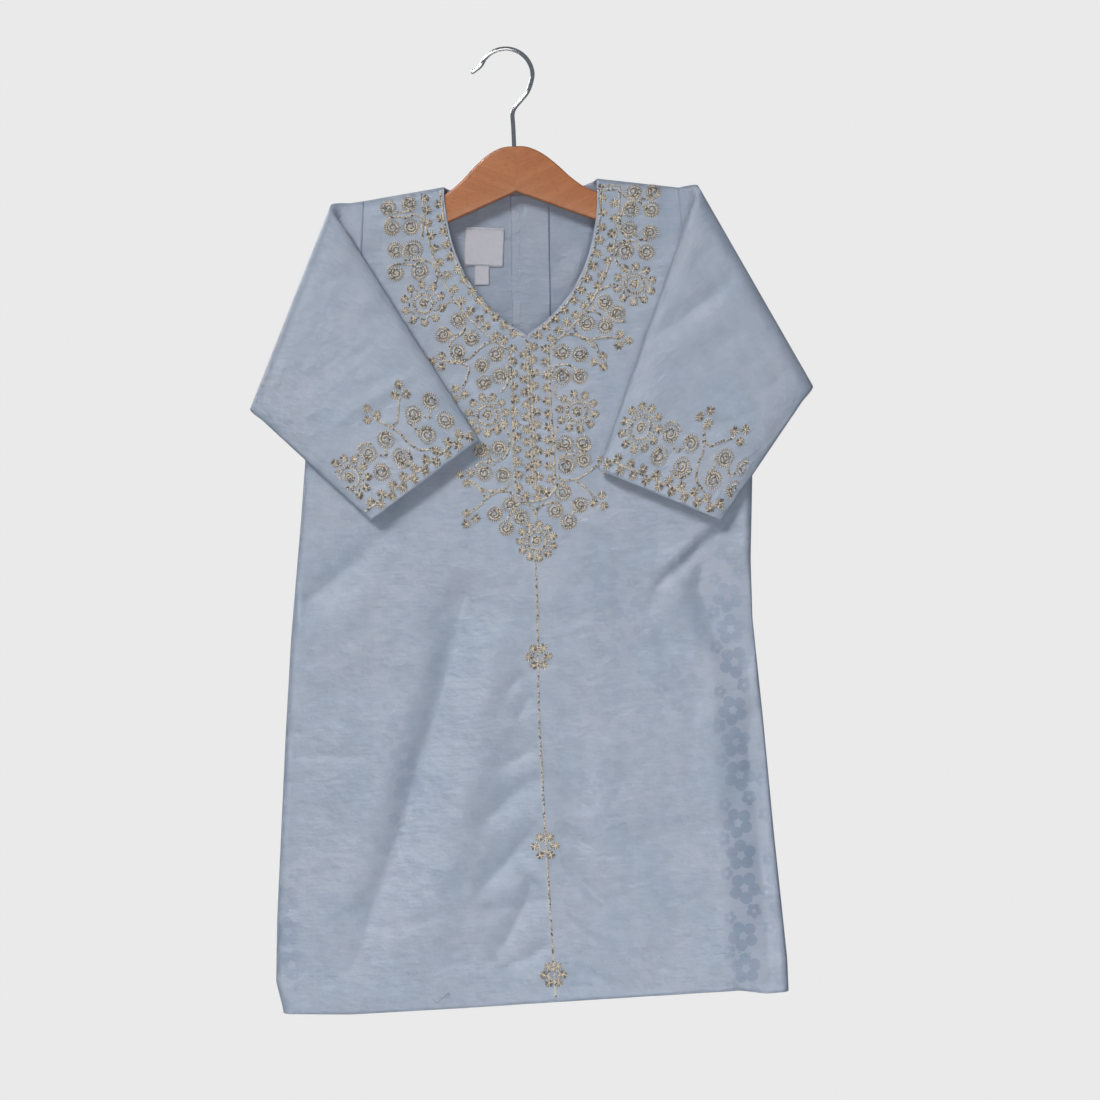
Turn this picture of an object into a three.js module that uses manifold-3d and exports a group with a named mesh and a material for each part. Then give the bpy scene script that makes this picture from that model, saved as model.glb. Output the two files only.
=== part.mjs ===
// A child's jalabiya, a straight tunic with a V neck, on its wooden hanger.
// Millimetres, +Z up. The front of the garment faces -Y, and +X is to the right of someone facing it.
// The origin is on the inner side of the hook's wire, on the line of the stem, where a rail bears.
import * as THREE from 'three';
import Module from 'manifold-3d';
import { mergeVertices } from 'three/addons/utils/BufferGeometryUtils.js';

const wasm = await Module();
wasm.setup();

// ---------------------------------------------------------------- driving dimensions

const CLOTH = 1.0;          // wall of every cloth piece
const SEAM = 0.3;           // space left between two pieces at a seam
const GARMENT_X = 3;        // the garment hangs this far to the right of the hanger's stem

// Half widths and heights of the body's corners, from the garment's centre line.
const NECK = { half: 50, z: -88, closing: 2.5 };
const SHOULDER = { half: 102.5, z: -93.7 };
const UNDERARM = { half: 145, z: -228 };
const V_POINT_Z = -186;
const HEM_Z = -619;

// The two side seams: how far out they lie, from the underarm down to the hem.
const SIDES = [
  { z: -228, left: 145, right: 145 },
  { z: -260, left: 148, right: 144.5 },
  { z: -299, left: 151.5, right: 142 },
  { z: -338, left: 156, right: 139.5 },
  { z: -377, left: 161, right: 139 },
  { z: -442, left: 167, right: 143 },
  { z: -520, left: 174, right: 147 },
  { z: -559, left: 177.5, right: 149.5 },
  { z: -600, left: 180, right: 152 },
  { z: -619, left: 174, right: 152 },
];

// The hem's height along its length: it drops a little at the left.
const HEM = [
  { x: -180, z: -617 },
  { x: -134, z: -621.5 },
  { x: -67, z: -620.8 },
  { x: 0, z: -618 },
  { x: 50, z: -616.4 },
  { x: 120, z: -616.8 },
  { x: 137, z: -619.5 },
  { x: 152, z: -617 },
];

// Handles of the neckline's curve and of the armhole's curve, in half widths and heights.
const NECKLINE_HANDLES = [{ half: 28, z: -169 }, { half: 50, z: -142 }];
const ARMHOLE_HANDLE = { half: 106, z: -190 };

// Each sleeve lies folded over to the front, about the line from foldTop to foldBottom.
// cuffTop and cuffBottom are the cuff's corners as it lies there.
const SLEEVES = [
  {
    name: 'sleeve_left', side: -1,
    foldTop: { x: -124, z: -96 }, foldBottom: { x: -182, z: -226 },
    cuffTop: { x: -33.5, z: -253 }, cuffBottom: { x: -106, z: -302.6 },
  },
  {
    name: 'sleeve_right', side: 1,
    foldTop: { x: 115.5, z: -93.6 }, foldBottom: { x: 184.3, z: -226.8 },
    cuffTop: { x: 42.3, z: -276 }, cuffBottom: { x: 120.7, z: -312.5 },
  },
];

// Half the outer depth of the flat garment, and how its closed edges round off.
const HALF_DEPTH = { shoulders: 6.3, skirt: 7.6, back: 7.6, sleeve: 3.8 };
const EDGE_ROUND = { neck: 5, shoulder: 12, underarm: 14, hem: 26 };
const BEND_RADIUS = 7;      // of the sleeve's middle layer where it folds over

// Large soft folds of the front and of the back. depth is how far a trough sinks in, and a ridge
// is a negative depth. width is the distance over which it dies away, and bow bends its line.
const FRONT_FOLDS = [
  { name: 'long trough, left', fromX: -52, fromZ: -366, toX: -138, toZ: -606, bow: 6, width: 13, depth: 2.8 },
  { name: 'broad ridge, left', fromX: -30, fromZ: -340, toX: -92, toZ: -616, bow: 4, width: 20, depth: -1.2 },
  { name: 'short trough, upper left', fromX: -94, fromZ: -288, toX: -148, toZ: -362, bow: 0, width: 12, depth: 1.6 },
  { name: 'hollow under the right cuff', fromX: 128, fromZ: -312, toX: 102, toZ: -374, bow: -3, width: 13, depth: 2.4 },
  { name: 'trough along the right side', fromX: 122, fromZ: -380, toX: 131, toZ: -624, bow: 3, width: 10, depth: 2.4 },
  { name: 'diagonal trough, right', fromX: 28, fromZ: -310, toX: 108, toZ: -424, bow: -3, width: 12, depth: 1.3 },
  { name: 'trough beside the centre line', fromX: -6, fromZ: -518, toX: -56, toZ: -568, bow: -3, width: 11, depth: 1.6 },
];
const BACK_FOLDS = [
  { name: 'long trough, left', fromX: -60, fromZ: -300, toX: -112, toZ: -610, bow: 8, width: 16, depth: 2.0 },
  { name: 'long trough, right', fromX: 66, fromZ: -330, toX: 98, toZ: -612, bow: -6, width: 16, depth: 2.2 },
  { name: 'broad ridge, middle', fromX: 10, fromZ: -360, toX: -6, toZ: -616, bow: 5, width: 24, depth: -1.4 },
];

// Back opening: a slit off the centre line, the strip behind it, and the button at its top.
const BACK_NECK = { z: -92.5, flatHalf: 30 };
const SLIT_X = 12;
const PLACKET = { left: -8, right: 17.4, top: -93.2, bottom: -266 };
const LABEL = { left: -38.1, right: -12.7, top: -113.8, bottom: -139.2 };
const SIZE_TAB = { left: -32.7, right: -23.3, top: -139.5, bottom: -151.5 };
const BUTTON = { x: 3.3, z: -101.6, radius: 4.8, thick: 2.2, rim: 0.9, dish: 0.5 };

// Hanger, from its own centre line: the crown's outline, then arms that fall straight to round ends.
const HANGER = { depth: 10, arm: 95, slope: 0.404, topZ: -62.5, gullZ: -92.1, bevel: 1.2 };
const CROWN = [
  { half: 0, z: -62.5 },
  { half: 9, z: -63.4 },
  { half: 18.3, z: -68 },
  { half: 27.4, z: -75.6 },
  { half: 35.8, z: -83.9 },
  { half: 44, z: -90.4 },
  { half: 50.7, z: -93.8 },
];
const WIRE = 1.4;           // radius of the hook's wire
const HOOK = { arcRadius: 17.5, arcX: -3.5, arcZ: -15.72, seat: 14 };

// ---------------------------------------------------------------- small helpers

const lerp = (a, b, t) => a + (b - a) * t;
const clamp01 = (t) => Math.min(1, Math.max(0, t));
const smooth = (from, to, v) => {
  const t = clamp01((v - from) / (to - from));
  return t * t * (3 - 2 * t);
};
const between = (a, b, t) => ({ x: lerp(a.x, b.x, t), z: lerp(a.z, b.z, t) });

// A quarter round: 0 on a closed edge, 1 where the cloth has reached its full depth.
const round = (distance, radius) => {
  const left = 1 - clamp01(distance / radius);
  return Math.sqrt(1 - left * left);
};

// Value of column `to` at `at` in column `from`, along the straight runs between a table's rows.
function lookUp(table, from, to, at) {
  const falling = table[0][from] > table[1][from];
  const row = table.findIndex((next) => (falling ? next[from] <= at : next[from] >= at));
  if (row === 0) return table[0][to];
  if (row < 0) return table[table.length - 1][to];
  const a = table[row - 1];
  const b = table[row];
  return lerp(a[to], b[to], (at - a[from]) / (b[from] - a[from]));
}

function bezier(points, t) {
  let level = points;
  while (level.length > 1) {
    level = level.slice(1).map((point, i) => between(level[i], point, t));
  }
  return level[0];
}

// ---------------------------------------------------------------- the garment's flat outline

const corner = (side, { half, z }) => ({ x: side * half, z });
const sideSeamX = (side, z) => side * lookUp(SIDES, 'z', side < 0 ? 'left' : 'right', z);
const hemZ = (x) => lookUp(HEM, 'x', 'z', x);

// From the V (t = 0) up to the neck point (t = 1).
function neckline(side, t) {
  const handles = NECKLINE_HANDLES.map((handle) => corner(side, handle));
  return bezier([{ x: 0, z: V_POINT_Z }, ...handles, corner(side, NECK)], t);
}

// From the underarm (t = 0) up to the shoulder's end (t = 1).
function armhole(side, t) {
  return bezier([corner(side, UNDERARM), corner(side, ARMHOLE_HANDLE), corner(side, SHOULDER)], t);
}

// Height of the shoulder line, and of the back neckline inside the neck points.
function shoulderZ(x) {
  const half = Math.abs(x);
  if (half >= NECK.half) {
    return lerp(NECK.z, SHOULDER.z, (half - NECK.half) / (SHOULDER.half - NECK.half));
  }
  const rise = clamp01((half - BACK_NECK.flatHalf) / (NECK.half - BACK_NECK.flatHalf));
  return lerp(BACK_NECK.z, NECK.z, rise * rise);
}

// ---------------------------------------------------------------- how the sleeves fold over

function foldFrame({ side, foldTop, foldBottom }) {
  const length = Math.hypot(foldBottom.x - foldTop.x, foldBottom.z - foldTop.z);
  const along = { x: (foldBottom.x - foldTop.x) / length, z: (foldBottom.z - foldTop.z) / length };
  const out = { x: -side * along.z, z: side * along.x };
  return { origin: foldTop, along, out };
}

const FOLD = { '-1': foldFrame(SLEEVES[0]), 1: foldFrame(SLEEVES[1]) };
const BEND_START = -(BEND_RADIUS + HALF_DEPTH.sleeve);
const BEND_END = BEND_START + Math.PI * BEND_RADIUS;

// How far a flat point lies beyond the fold line (s) and along it (q).
function onFold(side, point) {
  const { origin, along, out } = FOLD[side];
  const x = point.x - origin.x;
  const z = point.z - origin.z;
  return { s: x * out.x + z * out.z, q: x * along.x + z * along.z };
}

// Where a folded corner lies when the sleeve is straight out: its mirror image in the fold line.
function unfold(side, point) {
  const { out } = FOLD[side];
  const { s } = onFold(side, point);
  return { x: point.x - 2 * s * out.x, z: point.z - 2 * s * out.z };
}

// Bends a flat point round the fold. `lift` is how far it stands off the middle layer, towards the
// side that was the front, and `half` is half the depth of the tube there. Where the tube thins out
// at its edges, the bend reaches further, so that the folded edge stays straight.
function bend(side, point, lift, half) {
  const { origin, along, out } = FOLD[side];
  const { s, q } = onFold(side, point);
  const angle = clamp01((s - BEND_START) / (BEND_END - BEND_START)) * Math.PI;
  const past = Math.max(0, s - BEND_END);
  const reach = BEND_RADIUS + Math.max(0, HALF_DEPTH.sleeve - half) - lift;
  const u = Math.min(s, BEND_START) + reach * Math.sin(angle) - past;
  const y = -BEND_RADIUS * (1 - Math.cos(angle)) - lift * Math.cos(angle);
  return new THREE.Vector3(origin.x + u * out.x + q * along.x, y, origin.z + u * out.z + q * along.z);
}

// The flat garment thins towards the fold, so that the folded sleeve stays slim.
const thinning = (side, point) => smooth(-30, -4, onFold(side, point).s);

// ---------------------------------------------------------------- depth of the body

// Depth that a table's folds give at a point of the panel, positive inwards.
function foldDepth(folds, { x, z }) {
  let sum = 0;
  for (const { fromX, fromZ, toX, toZ, bow, width, depth } of folds) {
    const length = Math.hypot(toX - fromX, toZ - fromZ);
    const alongX = (toX - fromX) / length;
    const alongZ = (toZ - fromZ) / length;
    const t = ((x - fromX) * alongX + (z - fromZ) * alongZ) / length;
    if (t <= 0 || t >= 1) continue;
    const across = (x - fromX) * alongZ - (z - fromZ) * alongX - bow * 4 * t * (1 - t);
    sum += depth * Math.exp(-((across / width) ** 2)) * Math.sqrt(Math.sin(Math.PI * t));
  }
  return sum;
}

// How open the flat body is at a point, from 0 on its closed edges to 1 within. `inset` moves the
// closed edges in by the cloth's thickness for the inner side of the wall.
function openness(side, point, inset, isBack) {
  const { x, z } = point;
  const half = Math.abs(x);
  const low = clamp01((UNDERARM.z - z) / (UNDERARM.z - HEM_Z));
  const toSide = z < UNDERARM.z
    ? side * sideSeamX(side, z) - half
    : Math.hypot(UNDERARM.half - half, UNDERARM.z - z);
  const sideRadius = lerp(EDGE_ROUND.underarm, EDGE_ROUND.hem, low);
  const sideOpen = round(toSide - inset, sideRadius - inset);
  const topRadius = lerp(EDGE_ROUND.neck, EDGE_ROUND.shoulder, smooth(70, SHOULDER.half, half));
  const closes = isBack ? smooth(NECK.half - NECK.closing, NECK.half, half) : 1;
  const topLine = half < NECK.half && !isBack ? NECK.z : shoulderZ(x);
  const topOpen = round(topLine - z - inset, topRadius - inset);
  return sideOpen * (1 - closes * (1 - topOpen));
}

// Outer half depth of the body where it is fully open.
function fullDepth(side, point, isBack) {
  const skirt = smooth(-240, -400, point.z);
  const away = isBack ? smooth(-30, -70, onFold(side, point).s) : 0;
  const body = isBack
    ? lerp(HALF_DEPTH.shoulders, HALF_DEPTH.back, away)
    : lerp(HALF_DEPTH.shoulders, HALF_DEPTH.skirt, skirt);
  return lerp(body, HALF_DEPTH.sleeve, thinning(side, point));
}

// Distance of the wall's outer (inset 0) or inner (inset CLOTH) side from the garment's middle.
function depthAt(side, point, inset, isBack) {
  const full = fullDepth(side, point, isBack) - inset - SEAM / 2;
  const open = openness(side, point, inset, isBack);
  const folds = foldDepth(isBack ? BACK_FOLDS : FRONT_FOLDS, point);
  return SEAM / 2 + (full - folds) * open;
}

// A point of a panel in space, from its flat place. The back turns its depth the other way.
function placed(side, flat, inset, isBack) {
  const depth = depthAt(side, flat, inset, isBack);
  return bend(side, flat, isBack ? -depth : depth, depthAt(side, flat, 0, isBack));
}

// The wall's inner side starts one cloth thickness inside a closed edge.
const insetBy = (distance, range) => CLOTH * clamp01(1 - distance / range);

// ---------------------------------------------------------------- walls from grids of points

function solidGeometry(positions, index) {
  const geometry = new THREE.BufferGeometry();
  geometry.setAttribute('position', new THREE.Float32BufferAttribute(positions, 3));
  let volume = 0;
  for (let i = 0; i < index.length; i += 3) {
    const [a, b, c] = [0, 1, 2].map((j) => new THREE.Vector3().fromArray(positions, 3 * index[i + j]));
    volume += a.dot(b.cross(c));
  }
  geometry.setIndex(volume > 0 ? index : index.reverse());
  return geometry;
}

// A cloth wall over one or two halves of a panel. point(side, layer, row, column) gives the outer
// (layer 0) and inner (layer 1) side; column 0 is shared by both halves up to weldRow.
function clothWall({ sides, rows, columns, weldRow, point }) {
  const positions = [];
  const index = [];
  const ids = new Map();
  const id = (side, layer, row, column) => {
    const shared = column === 0 && row <= weldRow;
    const key = shared ? `${layer},${row}` : `${side},${layer},${row},${column}`;
    if (!ids.has(key)) {
      ids.set(key, positions.length / 3);
      positions.push(...point(side, layer, row, column).toArray());
    }
    return ids.get(key);
  };
  for (const side of sides) {
    const quad = (...corners) => {
      const [a, b, c, d] = (side > 0 ? corners : corners.reverse())
        .map(([layer, row, column]) => id(side, layer, row, column));
      index.push(a, b, c, a, c, d);
    };
    for (let r = 0; r < rows; r += 1) {
      for (let c = 0; c < columns; c += 1) {
        quad([0, r, c], [0, r, c + 1], [0, r + 1, c + 1], [0, r + 1, c]);
        quad([1, r + 1, c], [1, r + 1, c + 1], [1, r, c + 1], [1, r, c]);
      }
      quad([0, r + 1, columns], [0, r, columns], [1, r, columns], [1, r + 1, columns]);
      if (r >= weldRow) quad([0, r, 0], [0, r + 1, 0], [1, r + 1, 0], [1, r, 0]);
    }
    for (let c = 0; c < columns; c += 1) {
      quad([0, 0, c + 1], [0, 0, c], [1, 0, c], [1, 0, c + 1]);
      quad([0, rows, c], [0, rows, c + 1], [1, rows, c + 1], [1, rows, c]);
    }
  }
  return solidGeometry(positions, index);
}

// A tube of cloth through rings, open at both ends: stations[i] = { outer: [...], inner: [...] }.
function clothTube(stations) {
  const around = stations[0].outer.length;
  const positions = stations.flatMap(({ outer, inner }) => [...outer, ...inner])
    .flatMap((point) => point.toArray());
  const index = [];
  const quad = (a, b, c, d) => index.push(a, b, c, a, c, d);
  const outer = (station, i) => station * 2 * around + (i % around);
  const inner = (station, i) => outer(station, i) + around;
  const last = stations.length - 1;
  for (let i = 0; i < around; i += 1) {
    for (let station = 0; station < last; station += 1) {
      quad(outer(station, i), outer(station, i + 1), outer(station + 1, i + 1), outer(station + 1, i));
      quad(inner(station + 1, i), inner(station + 1, i + 1), inner(station, i + 1), inner(station, i));
    }
    quad(outer(0, i + 1), outer(0, i), inner(0, i), inner(0, i + 1));
    quad(outer(last, i), outer(last, i + 1), inner(last, i + 1), inner(last, i));
  }
  return solidGeometry(positions, index);
}

// ---------------------------------------------------------------- cloth pieces

// Columns crowd towards the side seam. Along the armhole, the rows of the panels and the points of
// the sleeve's rings lie at the same places, which crowd towards both its ends.
const ARMHOLE_STEPS = 12;
const columnPlace = (column, columns) => Math.sin((Math.PI / 2) * (column / columns));
const armholePlace = (step) => (1 - Math.cos((Math.PI * step) / ARMHOLE_STEPS)) / 2;

// Moves a flat point of the wall's inner side away from the closed edges near it.
function innerPlace(side, flat, belowUnderarm) {
  const fromTop = Math.max(0, shoulderZ(flat.x) - flat.z);
  const moved = { ...flat };
  if (belowUnderarm) {
    const fromSide = side * sideSeamX(side, flat.z) - Math.abs(flat.x);
    moved.x -= side * insetBy(fromSide, 20);
  } else if (Math.abs(flat.x) >= NECK.half - 0.01) {
    moved.z -= insetBy(fromTop, 6);
  }
  return moved;
}

// Front: both halves are cut in one below the V, and rows run from the centre line or the neckline
// straight across to the side seam or the armhole.
function frontGeometry() {
  const skirtRows = 22;
  const chestRows = 4;
  const columns = 13;
  const armholeAtV = armholePlace(chestRows);
  const flatPoint = (side, row, column) => {
    const across = columnPlace(column, columns);
    if (row <= skirtRows) {
      const up = row / skirtRows;
      const edge = sideSeamX(side, lerp(HEM_Z, UNDERARM.z, up));
      const x = edge * across;
      return { x, z: lerp(hemZ(x), UNDERARM.z, up) };
    }
    const up = armholePlace(row - skirtRows);
    const inside = up <= armholeAtV
      ? { x: 0, z: lerp(UNDERARM.z, V_POINT_Z, up / armholeAtV) }
      : neckline(side, (up - armholeAtV) / (1 - armholeAtV));
    return between(inside, armhole(side, up), across);
  };
  return clothWall({
    sides: [-1, 1],
    rows: skirtRows + ARMHOLE_STEPS,
    columns,
    weldRow: skirtRows + chestRows,
    point: (side, layer, row, column) => {
      const flat = flatPoint(side, row, column);
      if (layer === 0) return placed(side, flat, 0, false);
      return placed(side, innerPlace(side, flat, row <= skirtRows), CLOTH, false);
    },
  });
}

// Back: cut in one below the slit. Its columns fan out from the neckline and the shoulder line.
function backGeometry() {
  const skirtRows = 16;
  const columns = 13;
  const neckColumns = 6;
  const slitEndRow = 15;
  const topPoint = (side, column) => {
    const x = column <= neckColumns
      ? lerp(SLIT_X, side * NECK.half, 1 - (1 - column / neckColumns) ** 1.7)
      : side * lerp(NECK.half, SHOULDER.half, (column - neckColumns) / (columns - neckColumns));
    return { x, z: shoulderZ(x) };
  };
  const flatPoint = (side, row, column) => {
    const across = columnPlace(column, columns);
    const slitSide = row > slitEndRow ? side * (SEAM / 2) * (1 - column / columns) : 0;
    if (row <= skirtRows) {
      const up = row / skirtRows;
      const edge = sideSeamX(side, lerp(HEM_Z, UNDERARM.z, up));
      const x = lerp(SLIT_X, edge, across) + slitSide;
      return { x, z: lerp(hemZ(x), UNDERARM.z, up) };
    }
    const up = armholePlace(row - skirtRows);
    const low = { x: lerp(SLIT_X, side * UNDERARM.half, across), z: UNDERARM.z };
    const flat = between(low, topPoint(side, column), up);
    const straight = between(corner(side, UNDERARM), corner(side, SHOULDER), up);
    const curve = armhole(side, up);
    const share = (column / columns) ** 2;
    flat.x += (curve.x - straight.x) * share + slitSide;
    flat.z += (curve.z - straight.z) * share;
    return flat;
  };
  return clothWall({
    sides: [-1, 1],
    rows: skirtRows + ARMHOLE_STEPS,
    columns,
    weldRow: slitEndRow,
    point: (side, layer, row, column) => {
      const flat = flatPoint(side, row, column);
      if (layer === 0) return placed(side, flat, 0, true);
      return placed(side, innerPlace(side, flat, row <= skirtRows), CLOTH, true);
    },
  });
}

// A flat piece sewn to the inner side of the back, one seam's space off it.
function linedPiece({ left, right, top, bottom }, rows, columns) {
  return clothWall({
    sides: [1],
    rows,
    columns,
    weldRow: -1,
    point: (side, layer, row, column) => {
      const x = lerp(left, right, column / columns);
      const z = lerp(bottom, top, row / rows);
      const back = depthAt(x < 0 ? -1 : 1, { x, z }, CLOTH, true);
      return new THREE.Vector3(x, back - SEAM - (layer === 0 ? CLOTH : 0), z);
    },
  });
}

// Sleeve: rings run from the armhole, round the fold and on to the cuff. Each ring goes down the
// front layer and up the back layer.
function sleeveGeometry({ side, foldTop, foldBottom, cuffTop, cuffBottom }) {
  const headSteps = 3;
  const bendSteps = 9;
  const foreSteps = 8;
  const makeEdge = (start, fold, folded) => {
    const cuff = unfold(side, folded);
    const startS = onFold(side, start).s;
    const cuffS = onFold(side, cuff).s;
    const at = (s) => (s < 0 ? between(start, fold, 1 - s / startS) : between(fold, cuff, s / cuffS));
    return { at, startS, cuffS };
  };
  const top = makeEdge(corner(side, SHOULDER), foldTop, cuffTop);
  const under = makeEdge(corner(side, UNDERARM), foldBottom, cuffBottom);

  // The distance past the fold line, on the top edge and on the underarm edge, for each ring.
  const rings = [];
  const addRings = (steps, from, to, isHead) => {
    for (let i = isHead ? 0 : 1; i <= steps; i += 1) {
      const t = i / steps;
      rings.push({ top: lerp(from.top, to.top, t), under: lerp(from.under, to.under, t), head: isHead ? 1 - t : 0 });
    }
  };
  const leastHead = 1.5;
  const headStart = { top: top.startS, under: under.startS };
  const headEnd = { top: Math.max(BEND_START, top.startS + leastHead), under: BEND_START };
  const bendEnd = { top: BEND_END, under: BEND_END };
  addRings(headSteps, headStart, headEnd, true);
  addRings(bendSteps, headEnd, bendEnd, false);
  addRings(foreSteps, bendEnd, { top: top.cuffS, under: under.cuffS }, false);

  const shoulderEnd = corner(side, SHOULDER);
  const armpit = corner(side, UNDERARM);
  const ringPoint = (ring, i, inset) => {
    const topPoint = top.at(ring.top);
    const underPoint = under.at(ring.under);
    const length = Math.hypot(underPoint.x - topPoint.x, underPoint.z - topPoint.z);
    const step = i <= ARMHOLE_STEPS ? i : 2 * ARMHOLE_STEPS - i;
    const v = lerp(inset / length, 1 - inset / length, armholePlace(step));
    const flat = between(topPoint, underPoint, v);
    const curve = armhole(side, 1 - v);
    const chord = between(shoulderEnd, armpit, v);
    const share = ring.head * ring.head;
    flat.x += (curve.x - chord.x) * share + FOLD[side].out.x * SEAM * share;
    flat.z += (curve.z - chord.z) * share + FOLD[side].out.z * SEAM * share;
    const full = lerp(HALF_DEPTH.shoulders, HALF_DEPTH.sleeve, thinning(side, flat));
    const open = (depth, edge) => depth
      * round(v * length - edge, EDGE_ROUND.shoulder - edge)
      * round((1 - v) * length - edge, EDGE_ROUND.underarm - edge);
    const lift = open(full - inset, inset) * (i <= ARMHOLE_STEPS ? 1 : -1);
    return bend(side, flat, lift, open(full, 0));
  };
  const loop = [...Array(2 * ARMHOLE_STEPS).keys()];
  return clothTube(rings.map((ring) => ({
    outer: loop.map((i) => ringPoint(ring, i, 0)),
    inner: loop.map((i) => ringPoint(ring, i, CLOTH)),
  })));
}

// ---------------------------------------------------------------- button, hanger and hook

// A round button with a raised rim, turned about the axis through the cloth.
function buttonGeometry() {
  const { radius, thick, rim, dish } = BUTTON;
  const ease = 0.4;
  const profile = [
    [0, 0], [radius - ease, 0], [radius, ease], [radius, thick - ease], [radius - ease, thick],
    [radius - rim, thick], [radius - rim - ease, thick - dish], [0, thick - dish],
  ];
  return new THREE.LatheGeometry(profile.map(([r, y]) => new THREE.Vector2(r, y)), 18);
}

function toSolid(geometry) {
  const bare = new THREE.BufferGeometry();
  bare.setAttribute('position', geometry.getAttribute('position'));
  if (geometry.index) bare.setIndex(geometry.index);
  const merged = mergeVertices(bare, 1e-4);
  return new wasm.Manifold(new wasm.Mesh({
    numProp: 3,
    vertProperties: new Float32Array(merged.getAttribute('position').array),
    triVerts: new Uint32Array(merged.index.array),
  }));
}

function fromSolid(solid) {
  const { vertProperties, triVerts, numProp } = solid.getMesh();
  const geometry = new THREE.BufferGeometry();
  const positions = [];
  for (let i = 0; i < vertProperties.length; i += numProp) positions.push(...vertProperties.slice(i, i + 3));
  geometry.setAttribute('position', new THREE.Float32BufferAttribute(positions, 3));
  geometry.setIndex([...triVerts]);
  return geometry;
}

// The whole hanger's outline in the X-Z plane, pulled to its depth, with its long edges eased.
function hangerGeometry() {
  const { depth, arm, slope, gullZ, bevel } = HANGER;
  const shoulder = CROWN[CROWN.length - 1];
  const endTop = shoulder.z - (arm - shoulder.half) * slope;
  const endLow = gullZ - arm * slope;
  const tilt = Math.atan(slope);
  const endRadius = ((endTop - endLow) / 2) * Math.cos(tilt);
  const endX = arm - endRadius * Math.cos(tilt);
  const endZ = (endTop + endLow) / 2 + endRadius * Math.sin(tilt);
  const crown = new THREE.SplineCurve(
    [...CROWN.slice(1).map(({ half, z }) => new THREE.Vector2(-half, z)).reverse(),
      ...CROWN.map(({ half, z }) => new THREE.Vector2(half, z))],
  );
  const arc = (side) => [...Array(9).keys()].map((i) => {
    const angle = Math.PI / 2 - (Math.PI * i) / 8 - tilt;
    return new THREE.Vector2(side * (endX + endRadius * Math.cos(angle)), endZ + endRadius * Math.sin(angle));
  });
  const outline = [...crown.getPoints(36), ...arc(1), new THREE.Vector2(0, gullZ), ...arc(-1).reverse()];
  const geometry = new THREE.ExtrudeGeometry(new THREE.Shape(outline), {
    depth: depth - 2 * bevel, bevelEnabled: true, bevelThickness: bevel, bevelSize: bevel, bevelOffset: -bevel,
    bevelSegments: 2, steps: 1,
  });
  geometry.translate(0, 0, bevel - depth / 2);
  geometry.rotateX(Math.PI / 2);
  return geometry;
}

// One glued half of the hanger, bored for the hook's stem.
function hangerHalf(side) {
  const { arm, depth, topZ } = HANGER;
  const size = 2 * arm;
  const cutter = new THREE.BoxGeometry(size, 2 * depth, size);
  cutter.translate(side * (SEAM / 2 - size / 2), 0, topZ);
  const boreRadius = WIRE + SEAM;
  const bore = new THREE.CylinderGeometry(boreRadius, boreRadius, 2 * HOOK.seat, 16);
  bore.rotateX(Math.PI / 2);
  bore.translate(0, 0, topZ - SEAM);
  return fromSolid(toSolid(hangerGeometry()).subtract(toSolid(cutter)).subtract(toSolid(bore)));
}

// The hook: a stem in its bore, a bend to the right, most of a circle and a turned-out tip.
function hookGeometry() {
  const { arcRadius, arcX, arcZ, seat } = HOOK;
  const arcStart = -2;
  const arcEnd = 156;
  const arcPoints = 9;
  const arc = [...Array(arcPoints).keys()].map((i) => {
    const angle = THREE.MathUtils.degToRad(lerp(arcStart, arcEnd, i / (arcPoints - 1)));
    return new THREE.Vector3(arcX + arcRadius * Math.cos(angle), 0, arcZ + arcRadius * Math.sin(angle));
  });
  const path = new THREE.CatmullRomCurve3([
    new THREE.Vector3(0, 0, HANGER.topZ - seat + SEAM),
    new THREE.Vector3(0, 0, -50),
    new THREE.Vector3(0, 0, -40.5),
    new THREE.Vector3(1.4, 0, -37.3),
    new THREE.Vector3(6, 0, -32.1),
    new THREE.Vector3(10.5, 0, -26.7),
    ...arc,
    new THREE.Vector3(-22.4, 0, -10.9),
    new THREE.Vector3(-26.1, 0, -13.2),
  ], false, 'centripetal');
  const section = new THREE.Shape();
  const sides = 8;
  for (let i = 0; i < sides; i += 1) {
    const angle = (2 * Math.PI * i) / sides;
    const [x, y] = [WIRE * Math.cos(angle), WIRE * Math.sin(angle)];
    if (i === 0) section.moveTo(x, y);
    else section.lineTo(x, y);
  }
  return new THREE.ExtrudeGeometry(section, { extrudePath: path, steps: 64, bevelEnabled: false });
}

// ---------------------------------------------------------------- materials and assembly

const material = (color, roughness, metalness = 0) => new THREE.MeshStandardMaterial({ color, roughness, metalness });

function named(name, geometry, look) {
  const mesh = new THREE.Mesh(geometry, look);
  mesh.name = name;
  return mesh;
}

const clothLook = () => material(0x9ea6b4, 0.75);
const tapeLook = () => material(0xc4c2c8, 0.8);

const garment = new THREE.Group();
garment.position.x = GARMENT_X;
garment.add(named('front', frontGeometry(), clothLook()));
garment.add(named('back', backGeometry(), clothLook()));
for (const sleeve of SLEEVES) garment.add(named(sleeve.name, sleeveGeometry(sleeve), clothLook()));
garment.add(named('back_placket', linedPiece(PLACKET, 12, 4), material(0x969eab, 0.78)));
garment.add(named('label', linedPiece(LABEL, 3, 3), tapeLook()));
garment.add(named('size_tab', linedPiece(SIZE_TAB, 2, 2), tapeLook()));

const button = named('button', buttonGeometry(), material(0x8f99a8, 0.35));
button.position.set(BUTTON.x, HALF_DEPTH.back + SEAM, BUTTON.z);
garment.add(button);

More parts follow.
